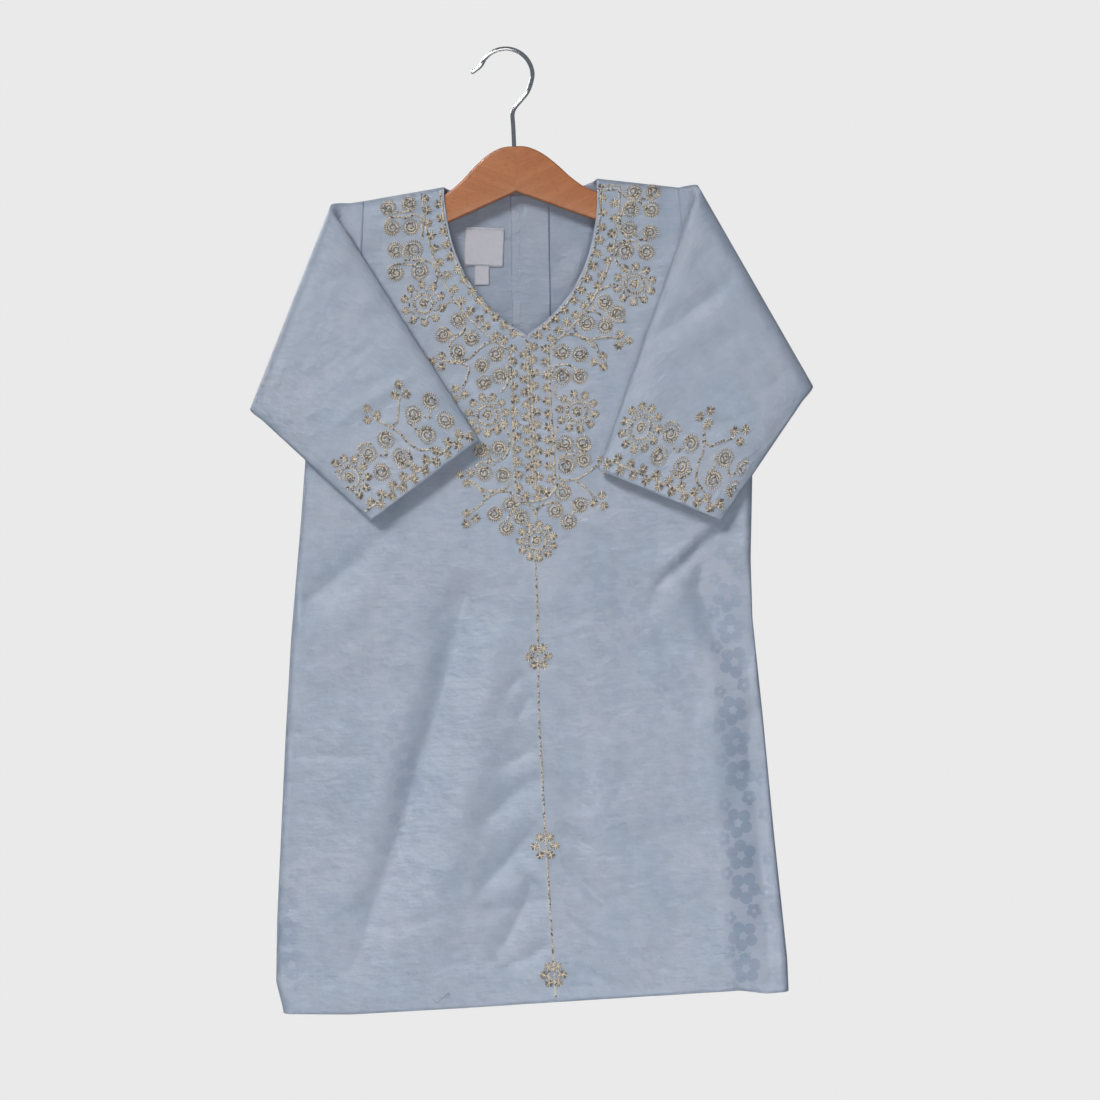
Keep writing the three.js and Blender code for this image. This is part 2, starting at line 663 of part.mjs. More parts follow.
const hanger = new THREE.Group();
hanger.add(named('hanger_left', hangerHalf(-1), material(0xa86e4b, 0.5)));
hanger.add(named('hanger_right', hangerHalf(1), material(0xa86e4b, 0.5)));
hanger.add(named('hanger_hook', hookGeometry(), material(0xb8b8b8, 0.15, 1)));

const part = new THREE.Group();
part.add(garment, hanger);

export default part;
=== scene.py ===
"""A child's jalabiya on its wooden hanger: cloth, embroidery, sewing, wood and wire."""
import math
import random
from collections import namedtuple

import bmesh
import bpy
import numpy as np
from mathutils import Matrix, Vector, noise


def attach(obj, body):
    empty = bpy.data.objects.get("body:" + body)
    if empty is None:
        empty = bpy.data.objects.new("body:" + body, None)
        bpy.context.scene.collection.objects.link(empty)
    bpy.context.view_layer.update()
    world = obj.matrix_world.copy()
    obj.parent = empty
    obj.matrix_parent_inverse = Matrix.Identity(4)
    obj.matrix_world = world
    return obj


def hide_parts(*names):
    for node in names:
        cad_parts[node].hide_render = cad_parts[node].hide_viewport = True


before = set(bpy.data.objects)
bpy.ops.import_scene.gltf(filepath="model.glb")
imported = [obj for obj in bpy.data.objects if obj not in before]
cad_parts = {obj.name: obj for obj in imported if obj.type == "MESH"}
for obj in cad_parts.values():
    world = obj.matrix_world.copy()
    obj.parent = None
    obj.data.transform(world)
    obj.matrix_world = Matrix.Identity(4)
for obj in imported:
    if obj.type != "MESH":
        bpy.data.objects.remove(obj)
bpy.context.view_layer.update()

MM = 0.001
random.seed(7)

# ---------------------------------------------------------------- camera

FRAME_WIDTH = 715 * MM          # how much of the garment's plane the camera sees, from side to side
FRAME_CENTRE = (11.9 * MM, -326.5 * MM)
CAMERA_DISTANCE = 2.3
CAMERA_ROLL = math.radians(2.5)
SENSOR = 36.0
FRONT_PLANE = -10 * MM


def place_camera():
    camera = bpy.data.cameras.new("camera")
    camera.sensor_width = SENSOR
    camera.lens = SENSOR * CAMERA_DISTANCE / FRAME_WIDTH
    camera.clip_end = 50
    holder = bpy.data.objects.new("camera", camera)
    holder.location = (FRAME_CENTRE[0], FRONT_PLANE - CAMERA_DISTANCE, FRAME_CENTRE[1])
    holder.rotation_euler = (math.pi / 2, CAMERA_ROLL, 0)
    bpy.context.collection.objects.link(holder)
    bpy.context.scene.camera = holder


place_camera()

# ---------------------------------------------------------------- the garment's sizes, in millimetres

GARMENT_X = 3
CLOTH = 0.6
NECK_HALF, NECK_Z, NECK_CLOSING = 50, -88, 2.5
NECK_RISE_LEFT, NECK_RISE_RIGHT = 1.2, 2.4      # how much higher the cloth lies over each arm
SHOULDER_HALF, SHOULDER_Z = 102.5, -93.7
UNDERARM_HALF, UNDERARM_Z = 145, -228
V_POINT_Z = -186
NECK_BOW = ((28, -169), (50, -142))     # what the neckline's curve is drawn towards, from the V up
ARMHOLE_BOW = (106, -190)               # the same for the armhole's
HEM_Z = -619
HEM_DEPTH = 25
SIDE_Z = [-619, -600, -559, -520, -442, -377, -338, -299, -260, -228]
SIDE_LEFT = [178, 182, 179.5, 176, 169, 162.5, 157.5, 152.5, 148, 145]
SIDE_RIGHT = [152, 152, 149.5, 147, 143, 139, 139.5, 142, 144.5, 145]
HEM_LINE_X = [-180, -134, -67, 0, 50, 120, 137, 152]
HEM_LINE_Z = [-620.5, -622.8, -622, -620.6, -619.6, -618.3, -621, -620.5]
BACK_NECK_Z, BACK_NECK_FLAT = -90.6, 30
SLIT_X, SLIT_END_Z = 12, -252.4
HALF_DEPTH_SHOULDERS, HALF_DEPTH_SKIRT, HALF_DEPTH_BACK, HALF_DEPTH_SLEEVE = 6.3, 7.6, 7.6, 3.8
ROUND_NECK, ROUND_SHOULDER, ROUND_UNDERARM, ROUND_SIDE = 5, 12, 14, 6
HALF_SEAM = 0.15
BEND_RADIUS = 7
BEND_START = -(BEND_RADIUS + HALF_DEPTH_SLEEVE)
BEND_END = BEND_START + math.pi * BEND_RADIUS

Sleeve = namedtuple("Sleeve", "side fold_top fold_bottom cuff_top cuff_bottom")
SLEEVES = {
    -1: Sleeve(-1, (-124, -96), (-182, -226), (-33.5, -253), (-106, -302.6)),
    1: Sleeve(1, (115.5, -93.6), (184.3, -226.8), (42.3, -276), (120.7, -312.5)),
}

# A fold runs from one point to another. bow bends its line, towards +x for one that runs downwards,
# width is the distance over which it dies away, depth is how far it sinks in (a ridge is a negative
# depth) and edge is how sharply it turns: 0 for a soft trough, else the radius of its crease.
Fold = namedtuple("Fold", "from_x from_z to_x to_z bow width depth edge")
FRONT_FOLDS = [
    # The long fold down the left side, with the swell to its right.
    Fold(-42, -338, -134, -598, 4, 12, 3.5, 1.2),
    Fold(-46, -340, -64, -410, 0, 12, 1.2, 0),
    Fold(-22, -366, -98, -600, 4, 17, -1.9, 0),
    Fold(-70, -370, -148, -590, 3, 13, -1.1, 0),
    # Below the left cuff.
    Fold(-92, -306, -156, -359, 0, 10, 2.2, 1.5),
    Fold(-106, -346, -140, -372, 0, 9, -0.7, 0),
    Fold(-40, -334, -84, -386, 3, 8, 0.6, 0),
    # Crease below the right cuff, and the hollow beside it.
    Fold(132, -308, 80, -352, 0, 4.4, 3.0, 0.6),
    Fold(86, -345, 72, -371, -2.4, 2.8, 1.8, 0.6),
    Fold(120, -309, 76, -347, 0, 5, -0.9, 0),
    Fold(128, -314, 106, -362, -3, 10, 1.6, 0),
    Fold(133, -366, 116, -396, 3, 6, 2.4, 1.2),
    Fold(108, -374, 132, -360, 0, 5, -0.6, 0),
    # Down the right side.
    Fold(135, -380, 141, -622, -1, 13, 3.4, 2.0),
    Fold(108, -400, 115, -618, 0, 9, -0.9, 0),
    Fold(30, -310, 107, -440, 5, 9, 1.8, 2.0),
    Fold(44, -306, 122, -410, 4, 9, -0.8, 0),
    # Short creases that run off the centre line on both sides.
    Fold(-7, -504, -50, -548, 2, 5.5, 2.2, 1.2),
    Fold(-11, -538, -40, -592, 3, 6, 2.3, 1.2),
    Fold(-2, -580, -34, -598, 3, 4, 1.6, 0.8),
    Fold(-5, -454, -36, -466, 2, 3.4, 1.1, 0.6),
    Fold(-5, -471, -47, -506, 0, 5, 1.4, 1.0),
    Fold(-8, -420, -18, -438, 0, 3, 0.9, 0.6),
    Fold(-12, -406, -27, -421, 0, 3, 0.9, 0.6),
    Fold(-11, -598, -26, -611, 0, 1.4, 0.6, 0.3),
    Fold(-66, -514, -48, -521, 0, 1.4, 0.5, 0.3),
    Fold(-2, -464, 30, -500, -2, 4, 1.2, 0.8),
    Fold(6, -503, 27, -523, 0, 3.4, 1.2, 0.7),
    Fold(8, -523, 40, -564, -3, 4, 1.5, 0.8),
    Fold(3, -562, 29, -583, 0, 2, 1.1, 0.4),
    Fold(9, -597, 53, -615, -1, 1.8, 1.2, 0.4),
    Fold(2, -430, 24, -444, 0, 3, 0.4, 0.5),
    # Pressed creases.
    Fold(-135, -569, -60, -560, -0.5, 1.7, 0.6, 0.4),
    Fold(-62, -560, -2, -556, 0, 1.6, 0.5, 0.4),
    Fold(58, -558, 123, -558.5, 0, 1.6, 0.4, 0.4),
    Fold(-169, -453, -115, -457, 1, 1.8, 0.8, 0.4),
    Fold(-168, -441, -158, -437, 0, 2, 0.8, 0.5),
    Fold(-164, -583, -160, -594, 0, 2, 0.6, 0.5),
    # Pull lines between the shoulders and the sleeves.
    Fold(-119, -98, -106, -107, 3, 2.6, 1.6, 0.8),
    Fold(-110, -126, -88, -131, 0, 3, 1.1, 0.8),
    Fold(-108, -120, -92, -122, 0, 4, -0.8, 0),
    Fold(-94, -134, -106, -160, 0, 4, 0.9, 0.8),
    Fold(-80, -158, -100, -163, 0, 3, 0.5, 0.6),
    Fold(92, -102, 96, -140, 2, 4.5, 0.7, 0.8),
    Fold(96, -132, 102, -138, 0, 2.6, -0.7, 0),
    Fold(76, -174, 94, -206, 2, 4, 0.7, 0.8),
    Fold(58, -206, 82, -220, 0, 4, -0.8, 0),
    Fold(50, -228, 66, -262, -2, 5, 0.6, 0.8),
    # Slack below the chest.
    Fold(0, -366, 24, -376, 0, 6, 0.5, 0),
    Fold(24, -330, 58, -372, 2, 6, 0.4, 0),
    Fold(-152, -372, -164, -520, 3, 9, 0.5, 0),
    Fold(64, -440, 90, -606, 4, 12, 0.6, 0),
    Fold(36, -450, 50, -596, -3, 10, -0.5, 0),
]
# Hollows: centre, reach across and down, lean from the upright, and depth.
Dent = namedtuple("Dent", "x z wide tall lean depth")
FRONT_DENTS = [
    Dent(124, -371, 27, 36, 12, 3.8),
    Dent(52, -398, 26, 12, -10, 0.5),
    Dent(-118, -408, 22, 14, 8, 0.6),
    Dent(70, -520, 30, 16, 4, 0.5),
    Dent(-140, -520, 20, 30, 4, 0.6),
]
BACK_FOLDS = [
    Fold(-60, -300, -112, -610, -8, 16, 2.2, 2.0),
    Fold(66, -330, 98, -612, 6, 16, 2.4, 2.0),
    Fold(10, -360, -6, -616, -5, 24, -1.4, 0),
    Fold(-120, -300, -140, -470, -4, 9, 0.8, 0.8),
    Fold(104, -290, 126, -430, 4, 8, 0.8, 0.8),
    Fold(-20, -280, -48, -360, -3, 7, 0.6, 0.8),
    Fold(30, -270, 46, -352, 3, 7, 0.6, 0.8),
    Fold(-150, -420, -158, -600, -3, 9, 0.7, 0),
    Fold(120, -450, 132, -610, 3, 8, 0.6, 0),
    Fold(-176, -566, 0, -558, 0, 2, 0.5, 0.4),
    Fold(0, -558, 140, -561, 0, 2, 0.5, 0.4),
    Fold(-96, -110, -126, -196, -3, 8, 0.7, 0.8),
    Fold(92, -112, 124, -200, 3, 8, 0.7, 0.8),
    Fold(-40, -120, -70, -210, -3, 9, 0.4, 0),
    Fold(19, -95, 24, -112, 0, 2, 0.9, 0.5),
    Fold(26, -96, 33, -110, 0, 2, 0.8, 0.5),
    Fold(34, -98, 44, -106, 0, 2, 0.7, 0.5),
    Fold(-30, -96, -22, -112, 0, 3, 0.8, 0.5),
    Fold(-44, -104, -30, -110, 0, 2, 0.6, 0.5),
    Fold(46, -116, 18, -160, 2, 7, 1.4, 0.8),
    Fold(40, -130, 22, -182, 0, 5, 0.9, 0.8),
    Fold(-8, -150, -30, -176, 0, 5, 1.0, 0.8),
]
# Folds of the sleeves' visible side, as they lie.
SLEEVE_FOLDS = {
    -1: [
        Fold(-68, -199, -114, -219, 0, 3.4, 0.7, 0.6),
        Fold(-88, -166, -114, -178, 0, 5, 0.7, 0.8),
        Fold(-66, -206, -124, -234, 1, 4, -0.6, 0),
        Fold(-96, -186, -150, -214, 0, 6, 0.6, 0.8),
        Fold(-104, -140, -136, -150, 0, 4, 0.5, 0.6),
        Fold(-132, -118, -142, -146, 0, 6, 0.7, 0),
        Fold(-128, -230, -158, -250, 0, 6, 0.6, 0.8),
        Fold(-78, -214, -98, -232, 0, 3, 0.5, 0.5),
        Fold(-68, -257, -80, -246, 0, 1.6, 0.5, 0.4),
        Fold(-64, -254, -76, -243, 0, 1.6, 0.4, 0.4),
        Fold(-150, -200, -166, -226, 0, 8, 0.7, 0),
    ],
    1: [
        Fold(138, -148, 76, -194, 4, 7, 2.2, 1.4),
        Fold(146, -158, 84, -206, 4, 8, -0.9, 0),
        Fold(128, -130, 108, -146, 0, 5, 0.9, 0.8),
        Fold(84, -210, 62, -226, 0, 5, 0.8, 0.8),
        Fold(176, -232, 156, -260, 0, 3, 1.0, 0.6),
        Fold(168, -222, 140, -232, 0, 6, 0.8, 0.8),
        Fold(128, -244, 112, -258, 0, 4, 0.7, 0.8),
        Fold(150, -268, 138, -288, 0, 3, 0.7, 0.6),
        Fold(140, -196, 112, -206, 0, 7, 0.5, 0),
        Fold(122, -164, 150, -192, 0, 6, 0.5, 0),
    ],
}
SLEEVE_GRAIN = {-1: (0.83, 0.56), 1: (0.8, 0.6)}       # run of the sleeves' fine streaks

# ---------------------------------------------------------------- the garment's form, as in the frame


def lerp(a, b, t):
    return a + (b - a) * t


def clamp01(t):
    return np.clip(t, 0, 1)


def smooth(start, end, value):
    t = clamp01((value - start) / (end - start))
    return t * t * (3 - 2 * t)


def quarter_round(distance, radius):
    """0 on a closed edge, 1 where the cloth has reached its full depth."""
    left = 1 - clamp01(distance / radius)
    return np.sqrt(1 - left * left)


def eased(t, crowding):
    """Even steps from 0 to 1 made finer towards both ends."""
    return t - crowding * np.sin(2 * np.pi * t) / (2 * np.pi)


def side_seam(side, z):
    return np.where(side < 0, np.interp(z, SIDE_Z, SIDE_LEFT), np.interp(z, SIDE_Z, SIDE_RIGHT))


def hem_z(x):
    return np.interp(x, HEM_LINE_X, HEM_LINE_Z)


def cubic(t, a, b, c, d):
    """Value at t of the curve that runs from a to d, drawn towards b and c."""
    return (1 - t) ** 3 * a + 3 * (1 - t) ** 2 * t * b + 3 * (1 - t) * t ** 2 * c + t ** 3 * d


def neckline(t, top_z=NECK_Z):
    """Half width and height of the front neckline, from the V (0) to the neck point (1)."""
    (low_half, low_z), (high_half, high_z) = NECK_BOW
    half = cubic(t, 0, low_half, high_half, NECK_HALF)
    return half, cubic(t, V_POINT_Z, low_z, high_z, top_z)


def armhole(t):
    """Half width and height of the armhole, from the underarm (0) to the shoulder's end (1)."""
    bow_half, bow_z = ARMHOLE_BOW
    half = (1 - t) ** 2 * UNDERARM_HALF + 2 * (1 - t) * t * bow_half + t ** 2 * SHOULDER_HALF
    z = (1 - t) ** 2 * UNDERARM_Z + 2 * (1 - t) * t * bow_z + t ** 2 * SHOULDER_Z
    return half, z


def neck_z(x):
    """Height of the neck point on the side that x lies on."""
    return NECK_Z + np.where(x < 0, NECK_RISE_LEFT, NECK_RISE_RIGHT)


def shoulder_z(x):
    half = np.abs(x)
    outer = lerp(neck_z(x), SHOULDER_Z, (half - NECK_HALF) / (SHOULDER_HALF - NECK_HALF))
    rise = clamp01((half - BACK_NECK_FLAT) / (NECK_HALF - BACK_NECK_FLAT))
    return np.where(half >= NECK_HALF, outer, lerp(BACK_NECK_Z, neck_z(x), rise * rise))


def fold_frame(sleeve):
    """Origin, direction along the fold line and direction out of the garment."""
    (top_x, top_z), (low_x, low_z) = sleeve.fold_top, sleeve.fold_bottom
    length = math.hypot(low_x - top_x, low_z - top_z)
    along = ((low_x - top_x) / length, (low_z - top_z) / length)
    out = (-sleeve.side * along[1], sleeve.side * along[0])
    return sleeve.fold_top, along, out


FOLD_FRAMES = {side: fold_frame(sleeve) for side, sleeve in SLEEVES.items()}


def on_fold(side, x, z):
    """How far a flat point lies beyond the fold line, and how far along it."""
    (top_x, top_z), along, out = FOLD_FRAMES[side]
    return (x - top_x) * out[0] + (z - top_z) * out[1], (x - top_x) * along[0] + (z - top_z) * along[1]


def bend(side, x, z, lift, half):
    """Bends flat points round the sleeve's fold. lift is their distance off the middle layer."""
    (top_x, top_z), along, out = FOLD_FRAMES[side]
    s, q = on_fold(side, x, z)
    angle = clamp01((s - BEND_START) / (BEND_END - BEND_START)) * np.pi
    past = np.maximum(0, s - BEND_END)
    reach = BEND_RADIUS + np.maximum(0, HALF_DEPTH_SLEEVE - half) - lift
    u = np.minimum(s, BEND_START) + reach * np.sin(angle) - past
    y = -BEND_RADIUS * (1 - np.cos(angle)) - lift * np.cos(angle)
    return np.stack([top_x + u * out[0] + q * along[0], y, top_z + u * out[1] + q * along[1]], axis=-1)


def fold_depth(folds, x, z):
    """Depth that all the folds give, positive inwards."""
    total = np.zeros_like(x)
    for fold in folds:
        run_x, run_z = fold.to_x - fold.from_x, fold.to_z - fold.from_z
        length = math.hypot(run_x, run_z)
        run_x, run_z = run_x / length, run_z / length
        t = clamp01(((x - fold.from_x) * run_x + (z - fold.from_z) * run_z) / length)
        across = (z - fold.from_z) * run_x - (x - fold.from_x) * run_z - fold.bow * 4 * t * (1 - t)
        if fold.edge:
            profile = np.exp((fold.edge - np.hypot(across, fold.edge)) / fold.width)
        else:
            profile = np.exp(-((across / fold.width) ** 2))
        total += fold.depth * profile * np.sqrt(np.sin(np.pi * t))
    return total


def dent_depth(dents, x, z):
    """Depth that all the hollows give: flat in the middle, with clear walls."""
    total = np.zeros_like(x)
    for dent in dents:
        lean = math.radians(dent.lean)
        across = (x - dent.x) * math.cos(lean) + (z - dent.z) * math.sin(lean)
        down = (z - dent.z) * math.cos(lean) - (x - dent.x) * math.sin(lean)
        away = (across / dent.wide) ** 2 + (down / dent.tall) ** 2
        total += dent.depth * np.exp(-(away ** 1.6))
    return total


def ripple(x, z, size, seed):
    """Smooth unevenness of about -1 to 1 whose bumps are `size` across."""
    return np.array([noise.noise(Vector((a / size, b / size, seed))) for a, b in zip(x, z)])


def openness(side, x, z, is_back):
    """From 0 on the flat body's closed edges to 1 within."""
    half = np.abs(x)
    low = clamp01((UNDERARM_Z - z) / 60)
    from_underarm = np.hypot(UNDERARM_HALF - half, UNDERARM_Z - z)
    to_side = np.where(z < UNDERARM_Z, side_seam(side, z) - half, from_underarm)
    side_open = quarter_round(to_side, lerp(ROUND_UNDERARM, ROUND_SIDE, low))
    top_radius = lerp(ROUND_NECK, ROUND_SHOULDER, smooth(70, SHOULDER_HALF, half))
    closes = smooth(NECK_HALF - NECK_CLOSING, NECK_HALF, half) if is_back else 1
    top_line = shoulder_z(x) if is_back else np.where(half < NECK_HALF, neck_z(x), shoulder_z(x))
    return side_open * (1 - closes * (1 - quarter_round(top_line - z, top_radius)))


def nears_fold(s):
    """From 0 on the body to 1 at a sleeve's fold."""
    return smooth(-30, -4, s)


def full_depth(side, x, z, is_back):
    s, _ = on_fold(side, x, z)
    if is_back:
        body = lerp(HALF_DEPTH_SHOULDERS, HALF_DEPTH_BACK, smooth(-30, -70, s))
    else:
        body = lerp(HALF_DEPTH_SHOULDERS, HALF_DEPTH_SKIRT, smooth(-240, -400, z))
    return lerp(body, HALF_DEPTH_SLEEVE, nears_fold(s))


def neck_edge_distance(x, z):
    """Rough distance of front points from the neckline, which is an arc of many short steps."""
    half, height = neckline(np.linspace(0, 1, 60))
    gaps = np.hypot(np.abs(x)[:, None] - half[None, :], z[:, None] - height[None, :])
    return gaps.min(axis=1)


TURNED_EDGE = 3.0       # width of the neckline's turned edge
STEP = 0.3              # how far a second layer of cloth stands out
SKIRT_FOLDS = 1.9       # how much deeper the folds go in the free skirt
SKIRT_START, SKIRT_FREE = -290, -340
SEAM_DROP, SEAM_REACH, SEAM_SINK = 3.2, 0.9, 0.5        # the shoulder seam's line in the front
LEAST_DEPTH = 1.4       # what stays between a panel and the middle in the deepest fold
LEAST_YOKE = 6.2        # the same for the back where it lies over the hanger


def skirt_gain(z):
    return lerp(1, SKIRT_FOLDS, smooth(SKIRT_START, SKIRT_FREE, z))


def hem_step(x, z):
    """The hem's second layer of cloth, from its line of stitches down."""
    return STEP * smooth(2, -2, z - hem_z(x) - HEM_DEPTH)


def front_depth(side, x, z):
    """Distance of the front's outer side from the garment's middle, with all its folds."""
    folds = fold_depth(FRONT_FOLDS, x, z) + dent_depth(FRONT_DENTS, x, z)
    folds = folds * skirt_gain(z)
    soft = 1.1 * ripple(x, z, 58, 3.1) + 0.95 * ripple(x, z, 23, 8.7) + 0.4 * ripple(x * 0.7, z, 9, 5.2)
    chest = smooth(-330, -290, z) * (1 - smooth(60, 95, np.abs(x)))
    soft = soft * (1 - 0.5 * chest) + 0.16 * chest * ripple(x, z, 5.5, 1.9)
    edge = neck_edge_distance(x, z)
    turned = STEP * smooth(TURNED_EDGE + 0.5, TURNED_EDGE - 0.5, edge)
    off_seam = (shoulder_z(x) - z - SEAM_DROP) / SEAM_REACH
    seam = -SEAM_SINK * np.exp(-(off_seam ** 2)) * (np.abs(x) > NECK_HALF)
    calm = clamp01((shoulder_z(x) - z) / 12)
    outer = full_depth(side, x, z, False) - HALF_SEAM - folds * calm + soft * calm
    outer = outer + hem_step(x, z) + turned + seam
    outer = np.maximum(outer, LEAST_DEPTH)
    return HALF_SEAM + outer * openness(side, x, z, False)


def back_depth(side, x, z):
    folds = fold_depth(BACK_FOLDS, x, z) * skirt_gain(z)
    soft = 0.8 * ripple(x, z, 62, 12.4) + 0.3 * ripple(x, z, 23, 15.8)
    near_neck = smooth(-150, -100, z) * (1 - smooth(30, 60, np.abs(x)))
    outer = full_depth(side, x, z, True) - HALF_SEAM - folds + soft * (1 - 0.6 * near_neck)
    outer = outer + hem_step(x, z)
    outer = np.maximum(outer, lerp(LEAST_DEPTH, LEAST_YOKE, smooth(-150, -125, z)))
    return HALF_SEAM + outer * openness(side, x, z, True)


def by_side(place, x, z):
    """Calls place(side, x, z) for the left and the right points of a panel."""
    points = np.zeros((len(x), 3))
    for side in (-1, 1):
        chosen = (x < 0) == (side < 0)
        if chosen.any():
            points[chosen] = place(side, x[chosen], z[chosen])
    return points


def front_skin(x, z):
    """Points of the front's outer side, from their flat places."""
    def place(side, px, pz):
        depth = front_depth(side, px, pz)
        return bend(side, px, pz, depth, depth)
    return by_side(place, x, z)


def back_skin(x, z):
    def place(side, px, pz):
        depth = back_depth(side, px, pz)
        return bend(side, px, pz, -depth, depth)
    return by_side(place, x, z)


def sleeve_edges(sleeve):
    """Flat top and underarm edges of a sleeve, each a function of the distance beyond the fold."""
    side = sleeve.side
    out = FOLD_FRAMES[side][2]

    def edge(start, fold, folded):
        s, _ = on_fold(side, *folded)
        cuff = (folded[0] - 2 * s * out[0], folded[1] - 2 * s * out[1])
        start_s, _ = on_fold(side, *start)
        cuff_s, _ = on_fold(side, *cuff)

        def at(distance):
            before = 1 - distance / start_s
            after = distance / cuff_s
            return [
                np.where(distance < 0, lerp(start[i], fold[i], before), lerp(fold[i], cuff[i], after))
                for i in (0, 1)
            ]
        return at, start_s, cuff_s

    top = edge((side * SHOULDER_HALF, SHOULDER_Z), sleeve.fold_top, sleeve.cuff_top)
    under = edge((side * UNDERARM_HALF, UNDERARM_Z), sleeve.fold_bottom, sleeve.cuff_bottom)
    return top, under


SLEEVE_HEAD, SLEEVE_BEND = 0.1, 0.28    # shares of a sleeve's rings that end the head and the bend
LEAST_HEAD, HEAD_GAP = 1.5, 0.1
SLEEVE_LONG = 200
CUFF_HEM = 12
LAID_CLOTH = 0.9                        # how far the folded sleeve's layers stand off


def sleeve_skin(side, along, v, visible):
    """Points of a sleeve's outer side. along runs from the armhole to the cuff, v from the top edge to
    the underarm edge, and visible tells the layer that shows once the sleeve is folded."""
    sleeve = SLEEVES[side]
    (top_at, top_start, top_cuff), (under_at, under_start, under_cuff) = sleeve_edges(sleeve)
    head_top = max(BEND_START, top_start + LEAST_HEAD)
    stops = [0, SLEEVE_HEAD, SLEEVE_BEND, 1]
    top_s = np.interp(along, stops, [top_start, head_top, BEND_END, top_cuff])
    under_s = np.interp(along, stops, [under_start, BEND_START, BEND_END, under_cuff])
    top_x, top_z = top_at(top_s)
    low_x, low_z = under_at(under_s)
    length = np.hypot(low_x - top_x, low_z - top_z)
    x, z = lerp(top_x, low_x, v), lerp(top_z, low_z, v)
    share = clamp01(1 - along / SLEEVE_HEAD) ** 2
    curve_half, curve_z = armhole(1 - v)
    out = FOLD_FRAMES[side][2]
    x = x + (side * curve_half - lerp(side * SHOULDER_HALF, side * UNDERARM_HALF, v)) * share
    z = z + (curve_z - lerp(SHOULDER_Z, UNDERARM_Z, v)) * share
    x, z = x + out[0] * HEAD_GAP * share, z + out[1] * HEAD_GAP * share
    s, _ = on_fold(side, x, z)
    full = lerp(HALF_DEPTH_SHOULDERS, HALF_DEPTH_SLEEVE, nears_fold(s))
    opened = full * quarter_round(v * length, ROUND_SHOULDER)
    opened = opened * quarter_round((1 - v) * length, ROUND_UNDERARM)
    points = bend(side, x, z, np.where(visible, -opened, opened), opened)
    laid = smooth(BEND_START, BEND_END + 8, s) * clamp01(opened / HALF_DEPTH_SLEEVE)
    fx, fz = points[:, 0], points[:, 2]
    folds = fold_depth(SLEEVE_FOLDS[side], fx, fz)
    run_x, run_z = SLEEVE_GRAIN[side]
    streaks = ripple((fx * run_x + fz * run_z) * 0.3, fz * run_x - fx * run_z, 7, 31 + side)
    soft = 0.75 * ripple(fx, fz, 46, 20 + side) + 0.35 * ripple(fx, fz, 19, 24 + side) + 0.2 * streaks
    from_cuff = (1 - along) * SLEEVE_LONG
    near_cuff = smooth(55, 40, from_cuff)
    soft = soft * (1 - 0.5 * near_cuff) + 0.14 * near_cuff * ripple(fx, fz, 5.5, 2.7)
    hem = STEP * smooth(CUFF_HEM + 1.2, CUFF_HEM - 1.2, from_cuff) * 0.6
    outwards = np.where(visible, 1.0, -0.5)
    points[:, 1] -= laid * outwards * (soft - folds + hem + LAID_CLOTH)
    return points


def round_point(x, z, radius, angle):
    """The point at a distance and an angle from a middle."""
    return (x + radius * math.cos(angle), z + radius * math.sin(angle))


def lengths_along(line):
    """Distance of each point of a line from its start, measured along it."""
    return np.concatenate([[0], np.cumsum(np.hypot(*np.diff(line, axis=0).T))])


def place_on(line, marks, distance):
    """Where a line is at a distance along it. marks are its lengths_along."""
    return np.interp(distance, marks, line[:, 0]), np.interp(distance, marks, line[:, 1])


def spline(points, per_span, power=0.0):
    """Points along a Catmull-Rom curve; power 0.5 keeps uneven spans from looping."""
    points = [np.array(p, dtype=float) for p in points]
    points = [2 * points[0] - points[1], *points, 2 * points[-1] - points[-2]]
    made = []
    for a, b, c, d in zip(points, points[1:], points[2:], points[3:]):
        t0 = 0.0
        t1 = t0 + np.linalg.norm(b - a) ** power
        t2 = t1 + np.linalg.norm(c - b) ** power
        t3 = t2 + np.linalg.norm(d - c) ** power
        for t in np.linspace(t1, t2, per_span, endpoint=False):
            ab = (t1 - t) / (t1 - t0) * a + (t - t0) / (t1 - t0) * b
            bc = (t2 - t) / (t2 - t1) * b + (t - t1) / (t2 - t1) * c
            cd = (t3 - t) / (t3 - t2) * c + (t - t2) / (t3 - t2) * d
            abc = (t2 - t) / (t2 - t0) * ab + (t - t0) / (t2 - t0) * bc
            bcd = (t3 - t) / (t3 - t1) * bc + (t - t1) / (t3 - t1) * cd
            made.append((t2 - t) / (t2 - t1) * abc + (t - t1) / (t2 - t1) * bcd)
    made.append(points[-2])
    return made


# ---------------------------------------------------------------- meshes


def add_mesh(name, mesh, material):
    """Makes a mesh a smooth piece of the object."""
    for polygon in mesh.polygons:
        polygon.use_smooth = True
    mesh.materials.append(material)
    piece = bpy.data.objects.new(name, mesh)
    bpy.context.collection.objects.link(piece)
    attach(piece, "root")
    return piece


def link(name, bm, material):
    """Makes a bmesh, in millimetres, a finished piece in metres."""
    bmesh.ops.scale(bm, vec=(MM, MM, MM), verts=bm.verts)
    mesh = bpy.data.meshes.new(name)
    bm.to_mesh(mesh)
    bm.free()
    return add_mesh(name, mesh, material)


